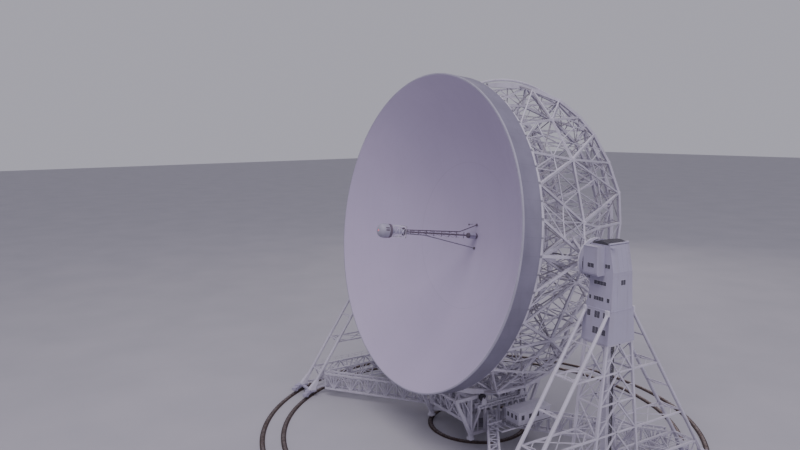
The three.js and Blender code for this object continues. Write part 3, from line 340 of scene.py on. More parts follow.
def vec(x, y, z):
    return Vector((x, y, z))


def lerp(a, b, t):
    return a + (b - a) * t


def in_bowl(x, ahead, up):
    """A point of the bowl's own frame, placed in the world at rest."""
    return vec(
        x,
        -ahead * math.cos(TILT) + up * math.sin(TILT),
        AXIS_HEIGHT + ahead * math.sin(TILT) + up * math.cos(TILT),
    )


def polar(radius, ahead, angle):
    return in_bowl(radius * math.cos(angle), ahead, radius * math.sin(angle))


def on_wheel(x, radius, degrees):
    angle = math.radians(degrees)
    return in_bowl(x, -radius * math.cos(angle), radius * math.sin(angle))


def dish_ahead(radius):
    return APERTURE - BOWL_DEPTH + BOWL_DEPTH * (radius / BOWL_RADIUS) ** 2


def rectangle(x, y, z, half_x, half_y):
    """Four corners round a point, at one height."""
    return [vec(x + a * half_x, y + b * half_y, z) for a, b in ((-1, -1), (1, -1), (1, 1), (-1, 1))]


def eight_sided(x0, x1, y0, y1, z, cut):
    """A rectangle with its corners cut off, at one height."""
    return [vec(x0 + cut, y0, z), vec(x1 - cut, y0, z), vec(x1, y0 + cut, z), vec(x1, y1 - cut, z),
            vec(x1 - cut, y1, z), vec(x0 + cut, y1, z), vec(x0, y1 - cut, z), vec(x0, y0 + cut, z)]


class Shape:
    """Faces gathered for one mesh, in full-size metres."""

    def __init__(self):
        self.points = []
        self.faces = []

    def add(self, points, faces):
        first = len(self.points)
        self.points.extend(points)
        self.faces.extend([tuple(first + i for i in face) for face in faces])

    def loops(self, rings):
        """Skins a list of rings, each a list of the same number of points."""
        count = len(rings[0])
        faces = []
        for i in range(len(rings) - 1):
            for j in range(count):
                k = (j + 1) % count
                faces.append((i * count + j, i * count + k, (i + 1) * count + k, (i + 1) * count + j))
        last = (len(rings) - 1) * count
        faces.append(tuple(reversed(range(count))))
        faces.append(tuple(last + j for j in range(count)))
        self.add([p for ring in rings for p in ring], faces)

    def bar(self, start, end, width, depth=None, sides=4):
        along = (end - start).normalized()
        steady = vec(1, 0, 0) if abs(along.z) > 0.95 else vec(0, 0, 1)
        across = steady.cross(along).normalized()
        over = along.cross(across)
        if sides == 4:
            half, deep = width / 2, (depth or width) / 2
            offsets = [(-half, -deep), (half, -deep), (half, deep), (-half, deep)]
        else:
            turns = [2 * math.pi * (i + 0.5) / sides for i in range(sides)]
            offsets = [(width / 2 * math.cos(t), width / 2 * math.sin(t)) for t in turns]
        self.loops([[p + across * a + over * b for a, b in offsets] for p in (start, end)])

    def path(self, points, width, sides=4):
        for start, end in zip(points, points[1:]):
            self.bar(start, end, width, sides=sides)

    def box(self, low, high):
        xs, ys, zs = ((low[i], high[i]) for i in range(3))
        rings = [[vec(xs[0], ys[0], z), vec(xs[1], ys[0], z), vec(xs[1], ys[1], z), vec(xs[0], ys[1], z)]
                 for z in zs]
        self.loops(rings)

    def chamfered(self, low, high, edge):
        """A box whose upright and top edges are cut back."""
        def ring(inset, z):
            return eight_sided(low[0] + inset, high[0] - inset, low[1] + inset, high[1] - inset, z, edge)
        self.loops([ring(0, low[2]), ring(0, high[2] - edge), ring(edge * 0.7, high[2])])

    def turned(self, profile, segments, place, closed=True):
        """A round skin from radius and height pairs. place maps radius, height and turn to a point."""
        count = len(profile)
        points = [place(r, h, 2 * math.pi * j / segments) for r, h in profile for j in range(segments)]
        faces = []
        for i in range(count if closed else count - 1):
            k = (i + 1) % count
            for j in range(segments):
                n = (j + 1) % segments
                faces.append((i * segments + j, i * segments + n, k * segments + n, k * segments + j))
        self.add(points, faces)

    def disc(self, centre, axis, radius, thickness, sides=24, bore=0.0):
        axis = axis.normalized()
        steady = vec(0, 0, 1) if abs(axis.z) < 0.9 else vec(1, 0, 0)
        across = steady.cross(axis).normalized()
        over = axis.cross(across)
        place = lambda r, h, t: centre + axis * h + across * (r * math.cos(t)) + over * (r * math.sin(t))
        half = thickness / 2
        edge = min(thickness, radius) * 0.12
        inner = max(bore, radius * 0.02)
        profile = [(inner, -half), (radius - edge, -half), (radius, -half + edge), (radius, half - edge),
                   (radius - edge, half), (inner, half)]
        self.turned(profile, sides, place)


def piece(name, shape, body, look, smooth=False, replaces=()):
    mesh = bpy.data.meshes.new(name)
    mesh.from_pydata([p * SCALE for p in shape.points], [], shape.faces)
    mesh.validate()
    made = bpy.data.objects.new(name, mesh)
    bpy.context.scene.collection.objects.link(made)
    mesh.materials.append(LOOKS[look])
    if smooth:
        mesh.shade_smooth()
        mesh.set_sharp_from_angle(angle=SHARP_ANGLE)
    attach(made, body)
    if replaces:
        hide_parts(*replaces)


def upright(radius, height, angle):
    return vec(radius * math.cos(angle), radius * math.sin(angle), height)


# Ring tracks: a dark bed, chairs across it and one broad running rail

def build_track(name, radius):
    segments = 192 if radius > 20 else 96
    bed = Shape()
    bed.turned([
        (radius - TRACK_HALF, 0), (radius + TRACK_HALF, 0), (radius + TRACK_HALF, 0.12),
        (radius + TRACK_HALF - 0.12, 0.28), (radius - TRACK_HALF + 0.12, 0.28), (radius - TRACK_HALF, 0.12),
    ], segments, upright)
    piece(f"{name}_bed", bed, "track", "track_brown", True, [name])
    rail = Shape()
    rail.turned([
        (radius - 0.34, 0.27), (radius + 0.34, 0.27), (radius + 0.34, 0.33), (radius + 0.26, 0.36),
        (radius + 0.26, TRACK_HEIGHT - 0.02), (radius + 0.23, TRACK_HEIGHT), (radius - 0.23, TRACK_HEIGHT),
        (radius - 0.26, TRACK_HEIGHT - 0.02), (radius - 0.26, 0.36), (radius - 0.34, 0.33),
    ], segments, upright)
    piece(f"{name}_rail", rail, "track", "rail_steel", True)
    chairs = Shape()
    count = round(2 * math.pi * radius / 1.6)
    for i in range(count):
        angle = 2 * math.pi * i / count
        chairs.bar(upright(radius - 0.52, 0.31, angle), upright(radius + 0.52, 0.31, angle), 0.24, 0.1)
    piece(f"{name}_chairs", chairs, "track", "dark_steel")


for track_name, track_radius in TRACK_RADII.items():
    build_track(track_name, track_radius)


# The dish: smooth painted face, sheet back, rim band with its lip, and brackets under the band

def face_lift(radius):
    """The smooth face stands this far ahead of the curve, clear of the flat-sided ribs' edges behind it."""
    return 0.18 * min(1.0, (BOWL_RADIUS - radius) / 4.0)


def build_dish():
    steps = 40
    radii = [BOWL_RADIUS * (i / steps) ** 0.8 for i in range(steps + 1)]
    radii[0] = 0.02
    segments = 192
    face = Shape()
    front = [(r, dish_ahead(r) + face_lift(r)) for r in radii] + [(BOWL_RADIUS, APERTURE - 0.08)]
    face.turned(front, segments, polar, closed=False)
    piece("dish_face", face, "bowl", "dish_paint", True, ["dish_surface"])
    back = Shape()
    back.turned([(r, dish_ahead(r) - 0.14) for r in radii], segments, polar, closed=False)
    back.faces = [tuple(reversed(f)) for f in back.faces]
    piece("dish_back", back, "bowl", "panel_paint", True)
    band = Shape()
    inner, outer = BOWL_RADIUS + 0.01, BOWL_RADIUS + 0.3
    band.turned([
        (inner, BAND_REAR + 0.02), (outer, BAND_REAR + 0.02), (outer + 0.03, BAND_REAR + 0.1),
        (outer + 0.03, BAND_REAR + 0.3), (outer, BAND_REAR + 0.36), (outer, APERTURE - 0.35), (inner, APERTURE - 0.35),
    ], segments, polar)
    piece("rim_band_sheet", band, "bowl", "band_paint", True, ["rim_band"])
    lip = Shape()
    lip.turned([
        (BOWL_RADIUS - 0.04, APERTURE - 0.2), (BOWL_RADIUS - 0.02, APERTURE - 0.36), (outer + 0.01, APERTURE - 0.36),
        (outer + 0.02, APERTURE - 0.04), (outer - 0.04, APERTURE), (BOWL_RADIUS - 0.01, APERTURE),
    ], segments, polar)
    piece("rim_lip", lip, "bowl", "lip_paint", True)
    brackets = Shape()
    for i in range(RIM_NODES * 2):
        angle = math.pi * i / RIM_NODES
        wide = 0.0035 if i % 2 else 0.007
        ring = lambda r: [polar(r, BAND_REAR - 0.55, angle - wide), polar(r, BAND_REAR - 0.55, angle + wide),
                          polar(r, BAND_REAR + 0.02, angle + wide), polar(r, BAND_REAR + 0.02, angle - wide)]
        brackets.loops([ring(BOWL_RADIUS - 0.1), ring(BOWL_RADIUS + 0.3)])
    piece("band_brackets", brackets, "bowl", "machine_grey")


build_dish()


# Ribs, purlins and bracing behind the dish

LOWER_CHORD = RIB_LOWER + [(37.6, 13.55)]
UPPER_RADII = [3.6, 8.0, 12.2, 16.4, 20.5, 24.7, 28.8, 33.0, 37.2]


def upper_chord(radius):
    return (radius, dish_ahead(radius) - 0.42)


def build_ribs():
    webs = Shape()
    for i in range(RIM_NODES):
        angle = 2 * math.pi * i / RIM_NODES
        solid_rib = i % 4 == 0
        at = lambda node: polar(*node, angle)
        upper = [upper_chord(r) for r in UPPER_RADII]
        lower = LOWER_CHORD
        if not solid_rib:
            first = 1 if i % 2 else 0
            webs.path([at(n) for n in lower[first:]], 0.3)
            webs.path([at(n) for n in upper[2 * first:]], 0.24)
            for k in range(first, len(lower) - 1):
                webs.bar(at(lower[k]), at(upper[2 * k]), 0.2)
        for k in range(1 if i % 2 else 0, len(lower) - 1):
            middle = upper[2 * k + 1]
            webs.bar(at(lower[k]), at(middle), 0.2)
            webs.bar(at(middle), at(lower[k + 1]), 0.2)
            low_middle = (lerp(lower[k][0], lower[k + 1][0], 0.5), lerp(lower[k][1], lower[k + 1][1], 0.5))
            webs.bar(at(low_middle), at(middle), 0.14)
    piece("rib_webs", webs, "bowl", "lattice_paint")
    rings = Shape()
    for radius, ahead in [LOWER_CHORD[2]] + [upper_chord(r) for r in UPPER_RADII[1:]]:
        nodes = [polar(radius, ahead, 2 * math.pi * i / RIM_NODES) for i in range(RIM_NODES + 1)]
        rings.path(nodes, 0.2)
    piece("purlin_rings", rings, "bowl", "lattice_paint")
    cross = Shape()
    panels = [(LOWER_CHORD[k], LOWER_CHORD[k + 1], 0.17) for k in range(1, len(LOWER_CHORD) - 1)]
    panels += [(upper_chord(UPPER_RADII[k]), upper_chord(UPPER_RADII[k + 1]), 0.14) for k in (3, 5, 7)]
    for k, (near, far, width) in enumerate(panels):
        for i in range(RIM_NODES):
            t0, t1 = 2 * math.pi * i / RIM_NODES, 2 * math.pi * (i + 1) / RIM_NODES
            cross.bar(polar(*near, t0), polar(*far, t1), width)
            if k < len(LOWER_CHORD) - 2:
                cross.bar(polar(*near, t1), polar(*far, t0), width)
    piece("dish_cross_bracing", cross, "bowl", "lattice_paint")


build_ribs()


# Bracing between the two wheel girders, and spokes from them to the ribs

def wheel_stations():
    step = 2 * WHEEL_REACH / WHEEL_BAYS
    return [-WHEEL_REACH + step * i for i in range(WHEEL_BAYS + 1)]


def build_wheel_bracing():
    inner, outer = WHEEL_INNER_RADIUS, WHEEL_RADIUS - 0.5
    reach = WHEEL_PLANE - 0.35
    frames = Shape()
    lacing = Shape()
    stations = wheel_stations()
    for degrees in (stations[0], stations[-1]):
        frames.bar(on_wheel(-reach, inner, degrees), on_wheel(reach, inner, degrees), 0.34)
        middle = on_wheel(0, outer, degrees)
        for side in (-1, 1):
            frames.bar(on_wheel(side * reach, inner, degrees), middle, 0.22)
    for i in range(WHEEL_BAYS):
        a, b = stations[i], stations[i + 1]
        half = (a + b) / 2
        sign = 1 if i % 2 else -1
        lacing.bar(on_wheel(-sign * reach, inner, a), on_wheel(sign * reach, inner, b), 0.2)
        for side in (-1, 1):
            x = side * WHEEL_PLANE
            lacing.bar(on_wheel(x, inner, half), on_wheel(x, outer, half), 0.2)
            lacing.bar(on_wheel(x, inner, a if i % 2 else b), on_wheel(x, outer, half), 0.16)
            lacing.bar(on_wheel(side * reach, outer, half), on_wheel(0, outer, half), 0.14)
    for x in (-WHEEL_PLANE, WHEEL_PLANE):
        rise = lambda k: 0.6 * math.sin(math.pi * (k - 78) / 40) if k > 78 else 0.0
        crown = [on_wheel(x, WHEEL_RADIUS - 0.05 + rise(k), k) for k in range(45, 112, 3)]
        frames.path(crown, 0.56, sides=6)
    piece("wheel_cross_frames", frames, "bowl", "lattice_paint")
    # The thin lacing takes the darker copy of the lattice paint: painted shade
    piece("wheel_fine_lacing", lacing, "bowl", "fine_paint")
    spokes = Shape()
    for side in (-1, 1):
        x = side * WHEEL_PLANE
        for sign in (-1, 1):
            low, mid, high = (
                in_bowl(x, ahead - drop, sign * math.sqrt(radius ** 2 - WHEEL_PLANE ** 2))
                for (radius, ahead), drop in zip(RIB_LOWER[1:], (0.7, 0.3, 0.7))
            )
            for degrees, target in ((15, low), (15, mid), (30, mid), (45, mid), (45, high), (75, high), (90, mid)):
                node = on_wheel(x, inner, sign * degrees)
                spokes.bar(node, target, 0.26)
                spokes.bar(lerp(node, target, 0.5), on_wheel(x, inner, sign * (degrees + 8)), 0.14)
            spokes.bar(low, mid, 0.26)
            spokes.bar(mid, high, 0.26)
            for target in (low, mid, high):
                mirrored = vec(-target.x, target.y, target.z)
                if side > 0:
                    spokes.bar(target, mirrored, 0.24)
    for sign in (-1, 1):
        for degrees in (15, 45, 75):
            ends = [on_wheel(side * WHEEL_PLANE, inner, sign * degrees) for side in (-1, 1)]
            hub = in_bowl(0, -4.9, sign * 3.0)
            for end in ends:
                spokes.bar(end, hub, 0.2)
    piece("wheel_spokes", spokes, "bowl", "lattice_paint")


build_wheel_bracing()


# Flanks: trusses from the rim and the wheel girders out to the trunnions, and their toothed wheels

def flank_nodes(side):
    """The flank's named points. T is above the tilting axis and B is below it."""
    nodes = {}
    rim_ahead = RIM_REAR - SEAT - 0.4
    rim_radius = BOWL_RADIUS - 0.45
    for k in range(-5, 6):
        angle = 2 * math.pi * k / RIM_NODES
        nodes[f"rim{k}"] = in_bowl(side * rim_radius * math.cos(angle), rim_ahead, rim_radius * math.sin(angle))
    nodes["apex"] = in_bowl(side * 37.4, 0, 0)
    for sign, tag in ((1, "T"), (-1, "B")):
        for i, (radius, degrees) in enumerate(FLANK_CHORD):
            nodes[f"out{tag}{i}"] = on_wheel(side * FLANK_PLANE, radius, sign * degrees)
            nodes[f"wheel{tag}{i}"] = on_wheel(side * (WHEEL_PLANE + 0.3), WHEEL_INNER_RADIUS + 0.1, sign * degrees)
            nodes[f"crown{tag}{i}"] = on_wheel(side * (WHEEL_PLANE + 0.3), WHEEL_RADIUS - 0.5, sign * degrees)
        nodes[f"mid{tag}1"] = in_bowl(side * 27.0, -9.0, sign * 6.8)
        nodes[f"mid{tag}2"] = in_bowl(side * 25.2, -4.8, sign * 21)
        nodes[f"mid{tag}3"] = in_bowl(side * 21.0, -1.0, sign * 29.6)
        nodes[f"knee{tag}"] = in_bowl(side * 30, -3.0, sign * 3.3)
        nodes[f"heel{tag}"] = in_bowl(side * 21.5, -19.6, sign * 5.7)
        for k in range(0, 4):
            angle = 2 * math.pi * k / RIM_NODES
            for name, (r, a) in ((f"rib{tag}{k}", RIB_LOWER[3]), (f"low{tag}{k}", RIB_LOWER[2])):
                nodes[name] = in_bowl(side * r * math.cos(angle), a, sign * r * math.sin(angle))
    return nodes


def halves(shape, nodes, triangle, width):
    """Ties the middles of a triangle's sides together."""
    a, b, c = (nodes[name] for name in triangle)
    middles = [lerp(a, b, 0.5), lerp(b, c, 0.5), lerp(c, a, 0.5)]
    shape.path(middles + middles[:1], width)


FLANK_MEMBERS = [
    (0.56, "rim2", "mid2", "out3"), (0.5, "rim3", "mid2", "out2"), (0.5, "rim2", "mid1", "heel", "out0"),
    (0.5, "mid1", "out1"), (0.42, "mid2", "out1"), (0.56, "mid1", "mid2", "mid3"), (0.5, "rim4", "mid3", "out4"),
    (0.42, "mid3", "out6"), (0.7, "rim0", "knee", "heel"), (0.6, "apex", "knee"), (0.5, "apex", "rim1"),
]


def build_flank_frame(hand, nodes):
    """The flank's main members: rim chord, outer chord, apex block, gussets and bars."""
    main = Shape()
    for sign, tag in ((1, "T"), (-1, "B")):
        def node(name):
            if name.startswith("rim"):
                return nodes[f"rim{sign * int(name[3:])}"]
            if name == "apex":
                return nodes[name]
            return nodes[name[:-1] + tag + name[-1] if name[-1].isdigit() else name + tag]
        for width, *names in FLANK_MEMBERS:
            main.path([node(name) for name in names], width)
        for name in ("mid1", "mid2", "mid3", "knee", "heel"):
            spot = node(name)
            main.chamfered(spot - vec(0.42, 0.42, 0.42), spot + vec(0.42, 0.42, 0.42), 0.06)
        for i in range(len(FLANK_CHORD) - 1):
            main.bar(nodes[f"out{tag}{i}"], nodes[f"out{tag}{i + 1}"], FLANK_BAR)
            if i:
                spot = nodes[f"out{tag}{i}"]
                main.chamfered(spot - vec(0.4, 0.4, 0.4), spot + vec(0.4, 0.4, 0.4), 0.06)
    main.bar(nodes["outT0"], nodes["outB0"], FLANK_BAR)
    main.bar(nodes["apex"], nodes["rim0"], 0.6)
    apex = nodes["apex"]
    main.chamfered(apex - vec(0.9, 0.9, 0.9), apex + vec(0.9, 0.9, 0.9), 0.12)
    main.path([nodes[f"rim{k}"] for k in range(-5, 6)], RIM_BAR)
    piece(f"flank_frame_{hand}", main, "bowl", "lattice_paint", replaces=[f"flank_truss_{hand}"])


def build_rack(hand, side):
    """The toothed wheel beside the trunnion: rim with teeth, spokes, hub and shaft."""
    rack = Shape()
    middle = vec(side * 39.9, 0, AXIS_HEIGHT)
    across = vec(1, 0, 0)
    around = lambda radius, turn: middle + vec(0, radius * math.cos(turn), radius * math.sin(turn))
    rim, rim_inner, hub, shaft = 4.02, 3.5, 1.9, 1.08
    rack.disc(middle, across, rim, 0.5, 96, rim_inner)
    rack.disc(middle, across, hub, 0.56, 48, 1.0)
    rack.disc(vec(side * 39.4, 0, AXIS_HEIGHT), across, shaft, 3.6, 32)
    for k in range(6):
        turn = math.pi * k / 3
        rack.bar(around(hub - 0.3, turn), around(rim_inner + 0.1, turn), 0.42, 0.4)
    teeth = 72
    for k in range(teeth):
        turn = 2 * math.pi * k / teeth
        rack.bar(around(rim - 0.04, turn), around(rim + 0.08, turn), 0.16, 0.4)
    piece(f"rack_wheel_{hand}", rack, "bowl", "lattice_paint", replaces=[f"trunnion_rack_{hand}"])


def build_flank(hand, side):
    nodes = flank_nodes(side)
    build_flank_frame(hand, nodes)
    bracing, inner = Shape(), Shape()

    def tie(shape, width, *pairs):
        for first, second in pairs:
            shape.bar(nodes[first], nodes[second], width)

    for sign, tag in ((1, "T"), (-1, "B")):
        rim = lambda k: f"rim{sign * k}"
        out, wheel, crown, rib, low = (
            lambda i, name=name: f"{name}{tag}{i}" for name in ("out", "wheel", "crown", "rib", "low")
        )
        m1, m2, m3 = (f"mid{tag}{i}" for i in (1, 2, 3))
        for triangle in (
            (rim(2), m2, m1), (rim(2), rim(3), m2), (rim(3), rim(4), m3), (rim(3), m3, m2),
            (m2, out(1), m1), (m2, out(2), out(1)), (m2, out(3), out(2)), (m2, m3, out(3)), (m3, out(4), out(3)),
            (m3, out(6), out(4)), (m1, out(1), f"heel{tag}"), (rim(1), rim(2), "apex"), (rim(2), m1, "apex"),
            (f"knee{tag}", f"heel{tag}", m1), (f"knee{tag}", "rim0", "apex"),
        ):
            halves(bracing, nodes, triangle, 0.22)
        tie(bracing, 0.34, (m1, "apex"))
        tie(bracing, 0.4, ("rim0", out(1)))
        tie(bracing, 0.3, (m3, out(5)), (rim(4), out(6)), (rim(1), m1))
        for i in range(len(FLANK_CHORD)):
            tie(inner, 0.26, (out(i), wheel(i)), (out(i), crown(i)))
            if i:
                tie(inner, 0.2, (out(i), wheel(i - 1)), (out(i - 1), crown(i)))
        for k in range(4):
            middle = m1 if k < 2 else m2
            tie(inner, 0.28, (rib(k), middle))
            tie(inner, 0.22, (low(k), middle))
            tie(inner, 0.2, (rib(k), out(k)))
        tie(inner, 0.28, (rib(3), m3), (m2, wheel(2)), (m2, wheel(3)), (m3, wheel(4)))
        tie(inner, 0.24, (m3, wheel(5)))
        tie(inner, 0.28, (m1, wheel(1)), (m1, wheel(0)))
        tie(inner, 0.26, *((rib(k), "apex" if k < 2 else m1) for k in range(4)))
    tie(bracing, 0.32, ("kneeT", "kneeB"), ("heelT", "heelB"), ("midT1", "midB1"))
    tie(bracing, 0.24, ("kneeT", "heelB"), ("kneeB", "heelT"), ("heelT", "outB0"), ("heelB", "outT0"))
    piece(f"flank_bracing_{hand}", bracing, "bowl", "lattice_paint")
    # The inner bracing takes the darker copy of the lattice paint: painted shade
    piece(f"flank_inner_bracing_{hand}", inner, "bowl", "fine_paint")


# Towers: legs, struts, bracing, ladder and lift shaft, the girders at their feet and the roller cradles

def tower_leg_y(z):
    return lerp(6.6, 3.55, (z - TOWER_LEVELS[0]) / (TOWER_LEVELS[-1] - TOWER_LEVELS[0]))


def raker_y(z):
    return 30.42 - 0.677 * (z - 1)


def lattice_plane(shape, at, bays, low, high, chord, web):
    """A girder plane: two chords, posts, and fans of bars that rise from every second lower node."""
    for level in (low, high):
        shape.bar(at(0, level), at(1, level), chord)
    for i in range(bays + 1):
        foot = at(i / bays, low)
        shape.bar(foot, at(i / bays, high), web)
        if i % 2:
            for reach, width in ((-1, web), (-0.5, web * 0.8), (0.5, web * 0.8), (1, web)):
                shape.bar(foot, at((i + reach) / bays, high), width)


def build_tower_frame(hand, side):
    """Four upright legs with peaked bracing between them and struts out to the raking legs."""
    main = Shape()
    levels = [BASE_UPPER, *TOWER_LEVELS[1:]]
    for x in TOWER_PLANES:
        for end in (-1, 1):
            main.bar(vec(side * x, end * tower_leg_y(BASE_UPPER - 0.2), BASE_UPPER - 0.2),
                     vec(side * x, end * tower_leg_y(APRON_BOTTOM + 0.4), APRON_BOTTOM + 0.4), TOWER_LEG)
            for z in TOWER_STRUT_LEVELS:
                main.bar(vec(side * x, end * tower_leg_y(z), z), vec(side * x, end * raker_y(z), z), TOWER_STRUT)
        for low, high in zip(levels, levels[1:]):
            peak = vec(side * x, 0, high)
            for end in (-1, 1):
                for z in (low, high):
                    main.bar(vec(side * x, end * tower_leg_y(z), z), peak, TOWER_WEB)
    for end in (-1, 1):
        for i, z in enumerate(levels):
            ends = [vec(side * x, end * tower_leg_y(z), z) for x in TOWER_PLANES]
            main.bar(*ends, TOWER_TIE)
            if i:
                below = [vec(side * x, end * tower_leg_y(levels[i - 1]), levels[i - 1]) for x in TOWER_PLANES]
                first, second = (below[0], ends[1]) if i % 2 else (below[1], ends[0])
                main.bar(first, second, TOWER_BRACE)
    piece(f"tower_lattice_{hand}", main, "turntable", "lattice_paint", replaces=[f"tower_frame_{hand}"])


def build_raking_legs(hand, side, way, end):
    """Two tapering legs from the corner trucks to the housing, with ties and light arched stiffeners."""
    legs = Shape()
    foot, head = 2.0, 41.2
    def ring(x, z):
        half = lerp(0.45, 0.34, (z - foot) / (head - foot))
        y = end * raker_y(z)
        return eight_sided(x - half, x + half, y - half, y + half, z, half * 0.45)
    for x in TOWER_PLANES:
        legs.loops([ring(side * x, z) for z in (foot, 10.0, 20.0, 30.0, head)])
    for z in (6.7, 15.3, 21.8, 28.2, 34.6):
        y = end * raker_y(z)
        near, far = (vec(side * x, y, z) for x in TOWER_PLANES)
        legs.bar(near, far, 0.26)
        crown = vec(side * TOWER_MIDDLE, y - end * 1.1, z)
        if z < 30:
            for start in (near, far):
                legs.bar(start, crown, 0.2)
    piece(f"leg_pair_{way}_{hand}", legs, "turntable", "lattice_paint", replaces=[f"raking_legs_{way}_{hand}"])


def build_tower_bracing(hand, side):
    fine = Shape()
    near, far = (side * x for x in TOWER_PLANES)
    for end in (-1, 1):
        for z, diamonds in zip(TOWER_STRUT_LEVELS, (2, 1)):
            step = (raker_y(z) - tower_leg_y(z)) / diamonds
            for k in range(diamonds):
                first = tower_leg_y(z) + k * step
                for x in (near, far):
                    waist = vec(x, end * (first + step / 2), z)
                    for y in (first, first + step):
                        fine.bar(vec(side * TOWER_MIDDLE, end * y, z), waist, 0.18)
        for low, high in zip(TOWER_LEVELS, TOWER_LEVELS[1:]):
            half_way = (low + high) / 2
            middle = vec(side * TOWER_MIDDLE, end * tower_leg_y(half_way), half_way)
            for x in (near, far):
                low_y, high_y = end * tower_leg_y(low), end * tower_leg_y(high)
                waist = vec(x, low_y / 2, half_way)
                fine.bar(middle, vec(x, low_y, low), 0.15)
                fine.bar(middle, vec(x, high_y, high), 0.15)
                fine.bar(waist, vec(x, lerp(low_y, high_y, 0.5), half_way), 0.16)
                fine.bar(waist, vec(x, end * 0.1, low), 0.16)
    for z in TOWER_LEVELS:
        y = tower_leg_y(z)
        fine.bar(vec(near, -y, z), vec(far, y, z), 0.14)
        fine.bar(vec(near, y, z), vec(far, -y, z), 0.14)
    piece(f"tower_bracing_{hand}", fine, "turntable", "lattice_paint")
    ladder = Shape()
    x, foot, head = side * 45.75, 1.6, 34.2
    near_rail, far_rail = -0.75, -0.35
    for y in (near_rail, far_rail):
        ladder.bar(vec(x, y, foot), vec(x, y, head), 0.09)
    for i in range(80):
        z = 1.8 + i * 0.4
        ladder.bar(vec(x, near_rail, z), vec(x, far_rail, z), 0.05)
    for i in range(16):
        z = 2.0 + i * 2.0
        ladder.bar(vec(x - side * 0.2, -0.55, z), vec(x, -0.55, z), 0.12)
    for y in (-0.05, 0.08):
        ladder.bar(vec(side * 45.68, y, foot), vec(side * 45.68, y, head), 0.1, sides=8)
    piece(f"tower_ladder_{hand}", ladder, "turntable", "dark_steel")
    low_x, high_x = sorted((side * 44.2, side * 45.6))
    front, rear, cut = -1.6, -0.1, 0.12
    shaft = Shape()
    shaft.loops([eight_sided(low_x, high_x, front, rear, z, cut) for z in (1.2, APRON_BOTTOM + 0.2)])
    piece(f"lift_shaft_sheet_{hand}", shaft, "turntable", "lattice_paint", replaces=[f"lift_shaft_{hand}"])
    joints = Shape()
    for i in range(9):
        z = 3.4 + i * 3.6
        joints.box((low_x - 0.05, front - 0.05, z), (high_x + 0.05, rear + 0.05, z + 0.12))
    piece(f"lift_shaft_joints_{hand}", joints, "turntable", "light_trim")


def build_base_girder(hand, side):
    main, fine = Shape(), Shape()
    near, far = (side * x for x in TOWER_PLANES)
    end_y = lambda z: raker_y(z) - 0.5
    steps = 12
    for x in (near, far):
        along = lambda t, z, x=x: vec(x, lerp(-end_y(z), end_y(z), t), z)
        lattice_plane(main, along, steps, BASE_LOWER, BASE_UPPER, GIRDER_CHORD, GIRDER_WEB)
    for z in (BASE_UPPER, BASE_LOWER):
        for i in range(steps):
            y0, y1 = (lerp(-end_y(z), end_y(z), (i + k) / steps) for k in (0, 1))
            a, b = (near, far) if i % 2 else (far, near)
            fine.bar(vec(a, y0, z), vec(b, y1, z), 0.18)
            fine.bar(vec(near, y1, z), vec(far, y1, z), 0.2)
    piece(f"base_lattice_{hand}", main, "turntable", "lattice_paint", replaces=[f"base_girder_{hand}"])
    piece(f"base_bracing_{hand}", fine, "turntable", "lattice_paint")


def build_diametral_girder(hand, side, way, end):
    """A box girder of two lattice planes between the centre frame and a tower's base."""
    main, fine = Shape(), Shape()
    start = vec(side * 9.5, end * 1.3, 0)
    stop = vec(side * 40.3, end * 24.5, 0)
    direction = (stop - start).normalized()
    outward = vec(-direction.y, direction.x, 0) * (side * end)
    offset = outward * 2.2
    steps = 14
    along = lambda t, z, shift: lerp(start, stop, t) + shift + vec(0, 0, z)
    zero = vec(0, 0, 0)
    for shift in (zero, offset):
        lattice_plane(main, lambda t, z, shift=shift: along(t, z, shift), steps,
                      BASE_LOWER, BASE_UPPER, GIRDER_CHORD, GIRDER_WEB)
    for foot in (start, stop):
        reach = 0.34 if foot is stop else 0.44
        low_x, high_x = foot.x - reach, foot.x + reach
        main.box((low_x, foot.y - 0.3, BASE_LOWER - 0.25), (high_x, foot.y + 0.3, BASE_UPPER + 0.25))
    for i in range(steps + 1):
        t = i / steps
        for z in (BASE_LOWER, BASE_UPPER):
            fine.bar(along(t, z, zero), along(t, z, offset), 0.2)
            if i < steps:
                first, second = (zero, offset) if i % 2 else (offset, zero)
                fine.bar(along(t, z, first), along((i + 1) / steps, z, second), 0.18)
    piece(f"diametral_lattice_{way}_{hand}", main, "turntable", "lattice_paint",
          replaces=[f"diametral_girder_{way}_{hand}"])
    piece(f"diametral_bracing_{way}_{hand}", fine, "turntable", "lattice_paint")


